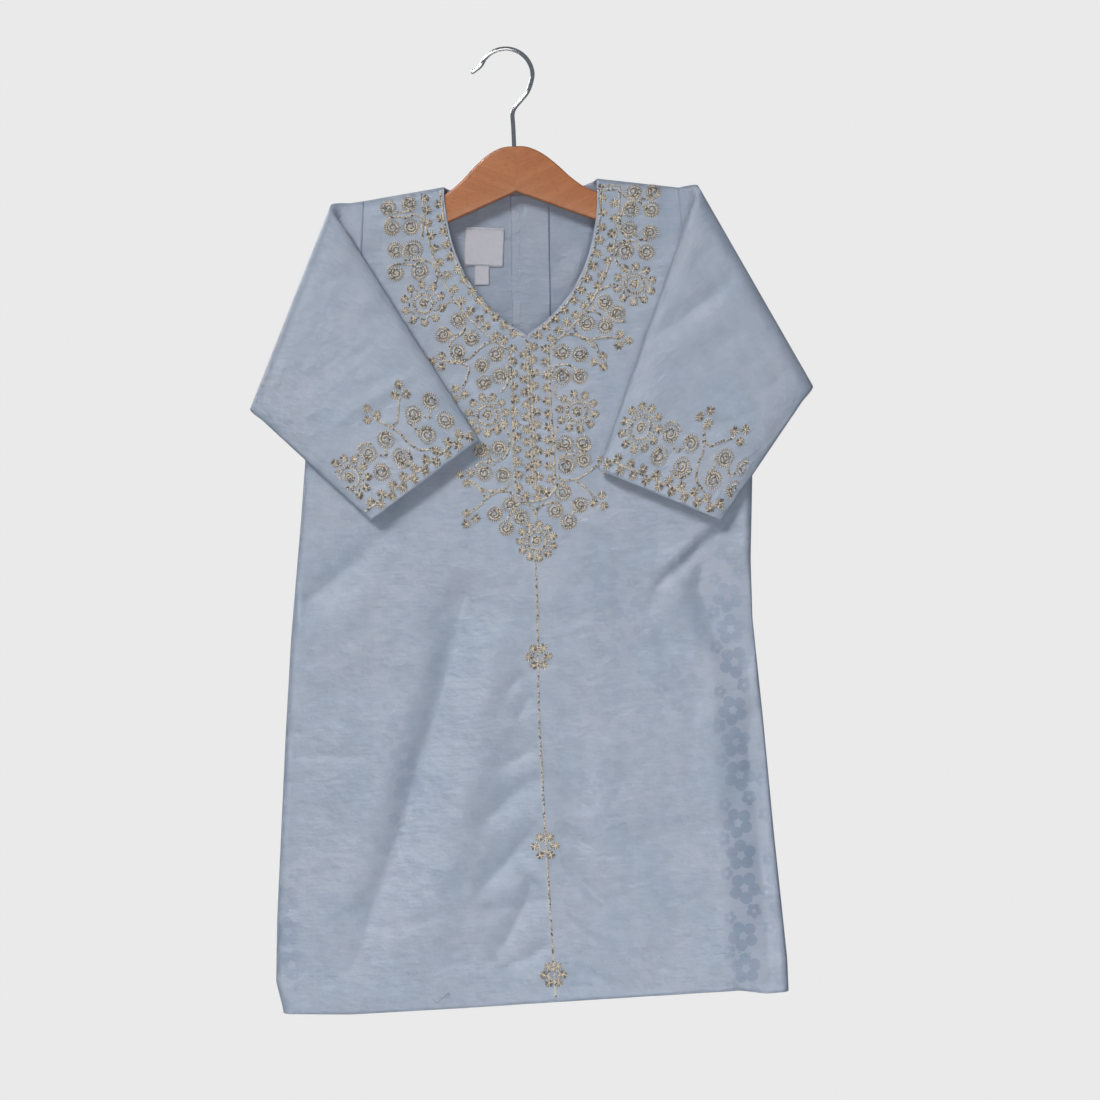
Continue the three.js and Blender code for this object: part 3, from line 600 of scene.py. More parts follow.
def lay_grid(bm, columns, rows, lay, turned=False):
    """Adds a grid whose points are laid by lay(across, up), which gives their places and flat places."""
    made = bmesh.ops.create_grid(bm, x_segments=columns, y_segments=rows, size=0.5)["verts"]
    corners = np.array([vert.co[:2] for vert in made]) + 0.5
    places, flat = lay(corners[:, 0], corners[:, 1])
    uv = bm.loops.layers.uv.get("UVMap") or bm.loops.layers.uv.new("UVMap")
    flat_of = {}
    for vert, place, (u, v) in zip(made, places.tolist(), flat.tolist()):
        vert.co = place
        flat_of[vert] = (u * MM, v * MM)
    faces = {face for vert in made for face in vert.link_faces}
    for face in faces:
        for loop in face.loops:
            loop[uv].uv = flat_of[loop.vert]
    if turned:
        bmesh.ops.reverse_faces(bm, faces=[face for face in bm.faces if face in faces])


def thicken(piece, thickness, lining=None):
    """Gives a shell its wall, inwards from its outer side, and a material for its inner side."""
    solid = piece.modifiers.new("wall", "SOLIDIFY")
    solid.thickness = thickness * MM
    solid.offset = -1
    if lining is not None:
        piece.data.materials.append(lining)
        solid.material_offset = 1


def mark_points(piece, name, values):
    """Keeps one number for each point of a piece, for its material."""
    layer = piece.data.attributes.new(name, "FLOAT", "POINT")
    layer.data.foreach_set("value", np.asarray(values, dtype=np.float32))


def flat_points(piece):
    """Places of a piece's points, in millimetres and the garment's own coordinates."""
    places = np.empty(len(piece.data.vertices) * 3, dtype=np.float32)
    piece.data.vertices.foreach_get("co", places)
    places = places.reshape(-1, 3).astype(float) / MM
    return places - [GARMENT_X, 0, 0]


# ---------------------------------------------------------------- materials


HANGER_SLOPE = 0.404     # fall of the hanger's arms, along which the wood's grain runs


class Nodes:
    """Short calls for a material's nodes."""

    def __init__(self, name):
        self.material = bpy.data.materials.new(name)
        self.material.use_nodes = True
        self.tree = self.material.node_tree
        self.shader = self.tree.nodes["Principled BSDF"]

    def node(self, kind, **settings):
        made = self.tree.nodes.new("ShaderNode" + kind)
        for key, value in settings.items():
            setattr(made, key, value)
        return made

    def feed(self, socket, value):
        if isinstance(value, bpy.types.NodeSocket):
            self.tree.links.new(value, socket)
        else:
            socket.default_value = value

    def maths(self, operation, a, b=0.0, clamp=False):
        made = self.node("Math", operation=operation, use_clamp=clamp)
        self.feed(made.inputs[0], a)
        self.feed(made.inputs[1], b)
        return made.outputs[0]

    def vector(self, operation, a, b=(0, 0, 0), c=(0, 0, 0)):
        made = self.node("VectorMath", operation=operation)
        self.feed(made.inputs[0], a)
        self.feed(made.inputs[1], b)
        if operation == "WRAP":
            self.feed(made.inputs[2], c)
        return made.outputs["Value" if operation == "LENGTH" else "Vector"]

    def ramp(self, value, low, high, to_low=0.0, to_high=1.0):
        made = self.node("MapRange", interpolation_type="SMOOTHSTEP")
        for socket, item in zip(made.inputs, (value, low, high, to_low, to_high)):
            self.feed(socket, item)
        return made.outputs[0]

    def noise(self, place, scale, detail=2.0, stretch=(1, 1, 1)):
        mapped = self.node("Mapping")
        self.feed(mapped.inputs["Vector"], place)
        mapped.inputs["Scale"].default_value = stretch
        made = self.node("TexNoise")
        self.feed(made.inputs["Vector"], mapped.outputs[0])
        made.inputs["Scale"].default_value = scale
        made.inputs["Detail"].default_value = detail
        return made.outputs["Fac"]

    def mix(self, factor, a, b):
        made = self.node("Mix", data_type="RGBA")
        self.feed(made.inputs["Factor"], factor)
        self.feed(made.inputs[6], a)
        self.feed(made.inputs[7], b)
        return made.outputs[2]

    def attribute(self, name):
        return self.node("Attribute", attribute_name=name).outputs["Fac"]

    def bump(self, height, distance, strength=1.0, normal=None):
        made = self.node("Bump")
        self.feed(made.inputs["Height"], height)
        made.inputs["Distance"].default_value = distance
        made.inputs["Strength"].default_value = strength
        if normal is not None:
            self.tree.links.new(normal, made.inputs["Normal"])
        return made.outputs[0]

    def finish(self, color=None, roughness=None, normal=None, **fixed):
        if color is not None:
            self.feed(self.shader.inputs["Base Color"], color)
        if roughness is not None:
            self.feed(self.shader.inputs["Roughness"], roughness)
        if normal is not None:
            self.feed(self.shader.inputs["Normal"], normal)
        for key, value in fixed.items():
            self.shader.inputs[key.replace("_", " ")].default_value = value
        return self.material


def paint(red, green, blue):
    """A colour given as it looks, from 0 to 255, as the linear colour that the nodes take."""
    def linear(value):
        share = value / 255
        return share / 12.92 if share <= 0.04045 else ((share + 0.055) / 1.055) ** 2.4
    return (linear(red), linear(green), linear(blue), 1)


# The woven flower's repeat, in millimetres: a column of three large blossoms and smaller ones beside
# it, and the same again half a repeat up in the next column.
REPEAT_WIDE, REPEAT_TALL, REPEAT_START = 54.0, 73.6, -10.0
Blossom = namedtuple("Blossom", "x z reach turn")
BLOSSOMS = [
    Blossom(1.0, 0.0, 10.8, 0.2),
    Blossom(-0.5, 21.5, 10.4, 0.9),
    Blossom(-1.5, 42.5, 10.2, 0.5),
    Blossom(6.5, 58.5, 5.2, 0.3),
    Blossom(-10.5, 10.5, 4.8, 0.1),
    Blossom(-11.5, 33.0, 5.0, 0.7),
    Blossom(-9.5, 55.0, 4.4, 0.0),
]
PETALS = 5
PETAL_DEPTH = 0.26      # how much darker a petal is where it shows fully
PETAL_TINT = 0.7        # how far its hue goes towards the bluer one below
PETAL_HUE = (152, 174, 204)
PETAL_GLOSS = 0.1       # how much glossier it is than the cloth round it
CLOTH_ROUGHNESS = 0.46
EDGE_HIGHLIGHT = 0.2         # painted highlight: how much lighter the cloth is drawn on its turned edges at the neck, the hem and the cuffs


def woven_flowers(nodes, flat):
    """1 on the petals of the woven flowers and 0 between them."""
    petals = 0.0
    columns = [(REPEAT_START, 0.0), (REPEAT_START + REPEAT_WIDE / 2, REPEAT_TALL / 2)]
    for shift_x, shift_z in columns:
        for blossom in BLOSSOMS:
            centre = ((blossom.x + shift_x) * MM, (blossom.z + shift_z) * MM, 0)
            local = nodes.vector("SUBTRACT", flat, centre)
            half = (REPEAT_WIDE * MM / 2, REPEAT_TALL * MM / 2, 1)
            local = nodes.vector("WRAP", local, half, tuple(-size for size in half))
            split = nodes.node("SeparateXYZ")
            nodes.feed(split.inputs[0], local)
            angle = nodes.maths("ARCTAN2", split.outputs[1], split.outputs[0])
            angle = nodes.maths("ADD", angle, blossom.turn)
            sector = nodes.maths("PINGPONG", angle, math.pi / PETALS)
            radius = nodes.vector("LENGTH", local)
            reach = blossom.reach * MM
            side = nodes.maths("MULTIPLY", radius, nodes.maths("SINE", sector))
            ahead = nodes.maths("MULTIPLY", radius, nodes.maths("COSINE", sector))
            ahead = nodes.maths("SUBTRACT", ahead, 0.6 * reach)
            side, ahead = nodes.maths("POWER", side, 2.0), nodes.maths("POWER", ahead, 2.0)
            gap = nodes.maths("SQRT", nodes.maths("ADD", side, ahead))
            petal = nodes.ramp(gap, 0.36 * reach, 0.40 * reach, 1.0, 0.0)
            heart = nodes.ramp(radius, 0.2 * reach, 0.25 * reach, 0.1, 1.0)
            petals = nodes.maths("MAXIMUM", petals, nodes.maths("MULTIPLY", petal, heart))
    return petals


def cloth_material(name, lit, shaded, flowers=True):
    """Fine glossy cotton with a woven flower, tone on tone. lit and shaded are the cloth's hues in light and
    in shade, painted over it in random clouds.
    """
    nodes = Nodes(name)
    flat = nodes.node("UVMap", uv_map="UVMap").outputs[0]
    clouds = nodes.noise(flat, 22, 4.0)
    patches = nodes.noise(flat, 75, 4.0)
    slubs = nodes.noise(flat, 520, 2.0, (0.2, 1, 1))
    # Painted light and shade: the lit and shaded hues mixed in random clouds.
    hue = nodes.mix(nodes.ramp(clouds, 0.34, 0.66), paint(*lit), paint(*shaded))
    mottle = nodes.ramp(patches, 0.3, 0.7, 0.965, 1.035)
    tone = nodes.maths("ADD", mottle, nodes.ramp(slubs, 0.25, 0.75, -0.03, 0.03))
    roughness = CLOTH_ROUGHNESS
    if flowers:
        petals = nodes.maths("MULTIPLY", woven_flowers(nodes, flat), nodes.attribute("flower"))
        hue = nodes.mix(nodes.maths("MULTIPLY", petals, PETAL_TINT), hue, paint(*PETAL_HUE))
        tone = nodes.maths("SUBTRACT", tone, nodes.maths("MULTIPLY", petals, PETAL_DEPTH))
        # Painted highlight on the turned edges, kept in the pale points.
        tone = nodes.maths("ADD", tone, nodes.maths("MULTIPLY", nodes.attribute("pale"), EDGE_HIGHLIGHT))
        roughness = nodes.maths("SUBTRACT", roughness, nodes.maths("MULTIPLY", petals, PETAL_GLOSS))
    shade = nodes.vector("SCALE", hue)
    nodes.feed(shade.node.inputs["Scale"], tone)
    warp = nodes.node("TexWave", wave_type="BANDS", bands_direction="X")
    weft = nodes.node("TexWave", wave_type="BANDS", bands_direction="Y")
    for wave in (warp, weft):
        nodes.feed(wave.inputs["Vector"], flat)
        wave.inputs["Scale"].default_value = 800
        wave.inputs["Distortion"].default_value = 0.6
    weave = nodes.maths("ADD", warp.outputs["Fac"], weft.outputs["Fac"])
    rumpled = nodes.noise(flat, 60, 4.0, (0.8, 1, 1))
    crinkled = nodes.noise(flat, 210, 4.0, (0.45, 1, 1))
    normal = nodes.bump(rumpled, 3.4 * MM, 0.6)
    normal = nodes.bump(crinkled, 1.3 * MM, 0.6, normal)
    threads = nodes.maths("ADD", weave, nodes.maths("MULTIPLY", slubs, 1.4))
    normal = nodes.bump(threads, 0.06 * MM, 0.5, normal)
    return nodes.finish(
        shade, roughness, normal, Sheen_Weight=0.1, Sheen_Roughness=0.4, Specular_IOR_Level=0.95,
    )


def thread_material(name, light, dark, metallic, roughness):
    """Thread whose stitches each have their own tone, kept in the piece's points; the tones stand for glint
    and shade, painted stitch by stitch.
    """
    nodes = Nodes(name)
    color = nodes.mix(nodes.attribute("tone"), paint(*dark), paint(*light))
    place = nodes.node("TexCoord").outputs["Object"]
    normal = nodes.bump(nodes.noise(place, 2600, 1.0), 0.1 * MM, 0.5)
    return nodes.finish(color, roughness, normal, Metallic=metallic)


def wood_material(name, tilt, shift):
    """Lacquered beech whose fine grain runs along one arm of the hanger."""
    nodes = Nodes(name)
    place = nodes.node("TexCoord").outputs["Object"]
    turned = nodes.node("Mapping", vector_type="POINT")
    nodes.feed(turned.inputs["Vector"], place)
    turned.inputs["Rotation"].default_value = (0, tilt, 0)
    turned.inputs["Location"].default_value = (shift, 0.1, 0)
    grain = nodes.noise(turned.outputs[0], 300, 5.0, (0.05, 1, 0.8))
    flecks = nodes.noise(turned.outputs[0], 1000, 2.0, (0.25, 1, 1))
    broad = nodes.noise(turned.outputs[0], 34, 3.0, (0.25, 1, 1))
    color = nodes.mix(nodes.ramp(grain, 0.34, 0.66), paint(186, 114, 68), paint(198, 126, 78))
    color = nodes.mix(nodes.ramp(flecks, 0.52, 0.66, 0.0, 0.4), color, paint(160, 92, 52))
    color = nodes.mix(nodes.ramp(broad, 0.35, 0.65, 0.0, 0.14), color, paint(202, 132, 84))
    normal = nodes.bump(grain, 0.12 * MM, 0.4)
    roughness = nodes.ramp(grain, 0.3, 0.7, 0.42, 0.34)
    return nodes.finish(color, roughness, normal, Coat_Weight=0.35, Coat_Roughness=0.25)


def wire_material():
    """Bright plated wire with faint drawing marks."""
    nodes = Nodes("plated wire")
    place = nodes.node("TexCoord").outputs["Object"]
    marks = nodes.noise(place, 700, 3.0)
    color = nodes.mix(marks, paint(200, 200, 200), paint(228, 228, 228))
    roughness = nodes.ramp(marks, 0.3, 0.7, 0.1, 0.16)
    return nodes.finish(color, roughness, nodes.bump(marks, 0.003 * MM, 0.2), Metallic=1.0)


def tape_material():
    """Smooth woven label tape, bare."""
    nodes = Nodes("label tape")
    flat = nodes.node("UVMap", uv_map="UVMap").outputs[0]
    ribs = nodes.node("TexWave", wave_type="BANDS", bands_direction="Y")
    nodes.feed(ribs.inputs["Vector"], flat)
    ribs.inputs["Scale"].default_value = 500
    color = nodes.mix(nodes.noise(flat, 400, 3.0), paint(196, 194, 202), paint(208, 206, 213))
    return nodes.finish(color, 0.6, nodes.bump(ribs.outputs["Fac"], 0.05 * MM, 0.4), Sheen_Weight=0.2)


def button_material():
    nodes = Nodes("button")
    place = nodes.node("TexCoord").outputs["Object"]
    swirl = nodes.noise(place, 260, 4.0)
    color = nodes.mix(nodes.ramp(swirl, 0.3, 0.7), paint(138, 148, 162), paint(156, 165, 178))
    roughness = nodes.ramp(swirl, 0.3, 0.7, 0.3, 0.4)
    return nodes.finish(color, roughness, nodes.bump(swirl, 0.05 * MM, 0.3), Coat_Weight=0.3)


cotton = cloth_material("cotton with woven flowers", (174, 182, 197), (166, 178, 195))
# The inner side is drawn darker than the outer: partly the fabric's own wrong side, partly painted shade for
# the dim inside of the garment.
wrong_side_with_shade = cloth_material("cotton, wrong side, darkened as painted shade", (158, 166, 182), (150, 162, 180))
# The strip's cotton is drawn darker than the outside: painted shade for the dim inside of the back, where it
# lies.
plain_cotton_with_shade = cloth_material("cotton strip, darkened as painted shade", (162, 170, 186), (154, 166, 184), flowers=False)
metal_thread = thread_material("metal thread", (246, 233, 213), (106, 96, 85), 0.2, 0.4)
sewing_thread = thread_material("sewing thread", (196, 212, 218), (128, 150, 168), 0.0, 0.6)
tape = tape_material()
wood_left = wood_material("wood, left arm", -math.atan(HANGER_SLOPE), 0.3)
wood_right = wood_material("wood, right arm", math.atan(HANGER_SLOPE), 0.0)
wire = wire_material()
moulded = button_material()

# ---------------------------------------------------------------- cloth pieces

EDGE_CROWDING = 0.5


def make_front():
    """Front panel: two halves, cut in one below the V."""
    columns, rows = 84, 214
    skirt_share = 0.7
    v_share = 0.25
    bm = bmesh.new()
    for side in (-1, 1):
        def lay(across, up, side=side):
            across = eased(across, EDGE_CROWDING)
            skirt = clamp01(up / skirt_share)
            chest = eased(clamp01((up - skirt_share) / (1 - skirt_share)), EDGE_CROWDING)
            seam = side * side_seam(side, lerp(HEM_Z, UNDERARM_Z, skirt))
            skirt_z = lerp(hem_z(seam * across), UNDERARM_Z, skirt)
            skirt_x = side * side_seam(side, skirt_z) * across
            top_z = NECK_Z + (NECK_RISE_LEFT if side < 0 else NECK_RISE_RIGHT)
            neck_half, neck_height = neckline(clamp01((chest - v_share) / (1 - v_share)), top_z)
            inner_x = np.where(chest <= v_share, 0, side * neck_half)
            inner_z = np.where(chest <= v_share, lerp(UNDERARM_Z, V_POINT_Z, chest / v_share), neck_height)
            arm_half, arm_z = armhole(chest)
            is_skirt = up <= skirt_share
            x = np.where(is_skirt, skirt_x, lerp(inner_x, side * arm_half, across))
            z = np.where(is_skirt, skirt_z, lerp(inner_z, arm_z, across))
            signed = np.where(np.abs(x) < 1e-6, side * 1e-6, x)
            return front_skin(signed, z) + [GARMENT_X, 0, 0], np.stack([x, z], axis=-1)
        lay_grid(bm, columns, rows, lay, turned=side < 0)
    bmesh.ops.remove_doubles(bm, verts=bm.verts, dist=1e-3)
    piece = link("front_cloth", bm, cotton)
    places = flat_points(piece)
    mark_points(piece, "flower", flower_strength(places[:, 0], places[:, 2]))
    # Painted highlight along the neckline's turned edge and the hem's fold.
    neck_highlight = smooth(1.0, 0.3, neck_edge_distance(places[:, 0], places[:, 2]))
    mark_points(piece, "pale", np.maximum(neck_highlight, smooth(1.6, 0.6, places[:, 2] - hem_z(places[:, 0]))))
    thicken(piece, CLOTH, wrong_side_with_shade)
    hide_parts("front")


# Where the woven flowers catch the light: centre, reach across and down, and strength.
Patch = namedtuple("Patch", "x z wide tall strength")
FLOWER_PATCHES = [
    Patch(127, -545, 14, 110, 0.65),
    Patch(122, -400, 13, 55, 0.4),
    Patch(48, -372, 20, 30, 0.14),
    Patch(80, -428, 12, 22, 0.14),
    Patch(34, -480, 14, 18, 0.1),
    Patch(-93, -476, 14, 60, 0.18),
    Patch(-173, -570, 7, 45, 0.4),
]
FLOWER_BASE = 0.16


def flower_strength(x, z):
    strength = np.full(len(x), FLOWER_BASE)
    for patch in FLOWER_PATCHES:
        spread = ((x - patch.x) / patch.wide) ** 2 + ((z - patch.z) / patch.tall) ** 2
        strength += patch.strength * np.exp(-(spread ** 1.5))
    return strength


def make_back():
    """Back panel: cut in one below the slit, and its halves part at the slit above."""
    columns, rows = 56, 150
    skirt_share = 0.66
    neck_share = 0.46
    slit_gap = 0.15
    bm = bmesh.new()
    for side in (-1, 1):
        def lay(across, up, side=side):
            place = eased(across, EDGE_CROWDING)
            skirt = clamp01(up / skirt_share)
            chest = eased(clamp01((up - skirt_share) / (1 - skirt_share)), EDGE_CROWDING)
            seam = side * side_seam(side, lerp(HEM_Z, UNDERARM_Z, skirt))
            skirt_z = lerp(hem_z(lerp(SLIT_X, seam, place)), UNDERARM_Z, skirt)
            skirt_x = lerp(SLIT_X, side * side_seam(side, skirt_z), place)
            at_neck = clamp01(across / neck_share)
            at_shoulder = clamp01((across - neck_share) / (1 - neck_share))
            top_x = np.where(
                across <= neck_share,
                lerp(SLIT_X, side * NECK_HALF, 1 - (1 - at_neck) ** 1.7),
                side * lerp(NECK_HALF, SHOULDER_HALF, at_shoulder),
            )
            x = lerp(lerp(SLIT_X, side * UNDERARM_HALF, place), top_x, chest)
            z = lerp(np.full_like(x, UNDERARM_Z), shoulder_z(top_x), chest)
            arm_half, arm_z = armhole(chest)
            share = place ** 2
            x += side * (arm_half - lerp(UNDERARM_HALF, SHOULDER_HALF, chest)) * share
            z += (arm_z - lerp(UNDERARM_Z, SHOULDER_Z, chest)) * share
            is_skirt = up <= skirt_share
            x, z = np.where(is_skirt, skirt_x, x), np.where(is_skirt, skirt_z, z)
            x = x + np.where(z > SLIT_END_Z, side * slit_gap * (1 - place), 0)
            return back_skin(x, z) + [GARMENT_X, 0, 0], np.stack([x, z], axis=-1)
        lay_grid(bm, columns, rows, lay, turned=side > 0)
    bmesh.ops.remove_doubles(bm, verts=bm.verts, dist=1e-3)
    piece = link("back_cloth", bm, cotton)
    places = flat_points(piece)
    mark_points(piece, "flower", 0.1 + flower_strength(-places[:, 0], places[:, 2]) * 0.7)
    # Painted highlight along the hem's fold.
    mark_points(piece, "pale", smooth(1.6, 0.6, places[:, 2] - hem_z(places[:, 0])))
    thicken(piece, CLOTH, wrong_side_with_shade)
    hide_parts("back")


def cuff_distance(side, places):
    """How far points of a folded sleeve lie from the line of its cuff."""
    (top_x, top_z), (low_x, low_z) = SLEEVES[side].cuff_top, SLEEVES[side].cuff_bottom
    long = math.hypot(low_x - top_x, low_z - top_z)
    return np.abs((places[:, 0] - top_x) * (low_z - top_z) - (places[:, 2] - top_z) * (low_x - top_x)) / long


def make_sleeve(side, name):
    """Sleeve: a tube from the armhole round the fold to the cuff, open at both ends."""
    columns, rows = 92, 140
    armhole_round, cuff_round, length = 282, 173, 206
    weave_shift = 260       # starts the weave's unevenness elsewhere than on the front
    bm = bmesh.new()

    def lay(along, around):
        v = eased(1 - np.abs(1 - 2 * around), 0.35)
        points = sleeve_skin(side, along, v, around > 0.5)
        width = lerp(armhole_round, cuff_round, along)
        flat = np.stack([along * length + weave_shift, around * width], axis=-1)
        return points + [GARMENT_X, 0, 0], flat
    lay_grid(bm, columns, rows, lay, turned=side > 0)
    bmesh.ops.remove_doubles(bm, verts=bm.verts, dist=1e-3)
    piece = link(name + "_cloth", bm, cotton)
    mark_points(piece, "flower", np.full(len(piece.data.vertices), 0.1))
    # Painted highlight along the cuff's turned edge.
    mark_points(piece, "pale", smooth(2.2, 0.8, cuff_distance(side, flat_points(piece))))
    thicken(piece, CLOTH, wrong_side_with_shade)
    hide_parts(name)


make_front()
make_back()
make_sleeve(-1, "sleeve_left")
make_sleeve(1, "sleeve_right")

# ---------------------------------------------------------------- sewn-in pieces

BUCKLE = 0.3            # how far these pieces stand off between their edges
Oblong = namedtuple("Oblong", "left right top bottom")
STRIP = Oblong(-7, 18.4, -93.2, -266)
STRIP_LEAN = 0.028
LABEL = Oblong(-38.1, -12.7, -113.8, -139.2)
LABEL_TILT = math.radians(-4.4)
SIZE_TAB = Oblong(-32.4, -23.0, -139.0, -151.3)


def inside_back(x, z):
    """Height of the back's inner side, on which the sewn pieces lie."""
    return np.where(x < 0, back_depth(-1, x, z), back_depth(1, x, z)) - CLOTH


def turned_in_plane(patch, tilt, x, z):
    """A point of a patch once the patch is turned about its middle."""
    middle_x, middle_z = (patch.left + patch.right) / 2, (patch.top + patch.bottom) / 2
    turned_x = middle_x + (x - middle_x) * math.cos(tilt) - (z - middle_z) * math.sin(tilt)
    turned_z = middle_z + (x - middle_x) * math.sin(tilt) + (z - middle_z) * math.cos(tilt)
    return turned_x, turned_z


def make_lining_piece(name, node, patch, material, columns, rows, lift, tilt=0.0, lean=0.0):
    """A flat piece sewn to the back's inner side, facing the neck opening. tilt turns it in its plane,
    and lean draws its foot aside."""
    bm = bmesh.new()

    def lay(across, up):
        x, z = lerp(patch.left, patch.right, across), lerp(patch.bottom, patch.top, up)
        turned_x, turned_z = turned_in_plane(patch, tilt, x, z)
        turned_x = turned_x + lean * (z - patch.top)
        wave = 0.5 + 0.5 * ripple(turned_x, turned_z, 11, patch.left)
        wave = BUCKLE * wave * np.sin(np.pi * across)
        y = inside_back(turned_x, turned_z) - lift - wave
        flat = np.stack([x, z], axis=-1)
        return np.stack([turned_x + GARMENT_X, y, turned_z], axis=-1), flat
    lay_grid(bm, columns, rows, lay)
    piece = link(name, bm, material)
    thicken(piece, 0.35)
    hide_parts(node)
    return piece


def make_strip():
    piece = make_lining_piece(
        "back_strip", "back_placket", STRIP, plain_cotton_with_shade, 20, 120, 0.55, lean=STRIP_LEAN,
    )


def make_labels():
    square = make_lining_piece("neck_label", "label", LABEL, tape, 24, 24, 0.9, LABEL_TILT)
    tab = make_lining_piece("size_label", "size_tab", SIZE_TAB, tape, 10, 12, 0.9, math.radians(-2))


make_strip()
make_labels()

# ---------------------------------------------------------------- stitches

Stitch = namedtuple("Stitch", "x z angle length width lift tone")
# Shares of stitches drawn light and middle, the rest dark: painted glint and shade on the thread.
LIGHT_SHARE, MIDDLE_SHARE = 0.6, 0.26


def thread_tone():
    """A stitch is drawn light, middle or dark at random: painted glint and shade on the thread."""
    draw = random.random()
    if draw < LIGHT_SHARE:
        return 0.75 + 0.25 * random.random()
    if draw < LIGHT_SHARE + MIDDLE_SHARE:
        return 0.4 + 0.25 * random.random()
    return 0.15 * random.random()


def sew(name, stitches, skin, material, facing=-1):
    """Joins many small grains, one for each stitch, laid on a skin that gives a point of the cloth.
    facing is -1 for stitches seen from the front and 1 for those seen from behind."""
    grain = bmesh.new()
    bmesh.ops.create_icosphere(grain, subdivisions=1, radius=0.5)
    shape = np.array([vert.co[:] for vert in grain.verts])
    faces = np.array([[vert.index for vert in face.verts] for face in grain.faces])
    grain.free()
    rows = np.array([stitch[:7] for stitch in stitches], dtype=float)
    x, z, angle, length, width, lift, tone = rows.T
    reach = 0.25
    run = (np.cos(angle) * reach, np.sin(angle) * reach)
    middle = skin(x, z)
    ahead = skin(x + run[0], z + run[1]) - skin(x - run[0], z - run[1])
    aside = skin(x - run[1], z + run[0]) - skin(x + run[1], z - run[0])
    ahead /= np.linalg.norm(ahead, axis=1)[:, None]
    off = np.cross(ahead, aside)
    off /= (np.linalg.norm(off, axis=1) * np.sign(off[:, 1]) * facing)[:, None]
    aside = np.cross(off, ahead)
    height = width * 1.05
    verts = (
        (middle + off * (lift + height * 0.3)[:, None])[:, None, :]
        + ahead[:, None, :] * (shape[None, :, 0] * length[:, None])[..., None]
        + aside[:, None, :] * (shape[None, :, 1] * width[:, None])[..., None]
        + off[:, None, :] * (shape[None, :, 2] * height[:, None])[..., None]
    )
    verts = (verts + [GARMENT_X, 0, 0]) * MM
    count = len(rows)
    every = (faces[None] + (np.arange(count) * len(shape))[:, None, None]).reshape(-1, 3)
    mesh = bpy.data.meshes.new(name)
    mesh.from_pydata(verts.reshape(-1, 3).tolist(), [], every.tolist())
    piece = add_mesh(name, mesh, material)
    mark_points(piece, "tone", np.repeat(tone, len(shape)))


def ring(x, z, radius, count):
    """Points round a closed ring."""
    return [round_point(x, z, radius, angle) for angle in np.linspace(0, 2 * math.pi, count)]


def smooth_line(points):
    """A smooth line through a few points."""
    return np.array(spline(points, 8, 0.5))


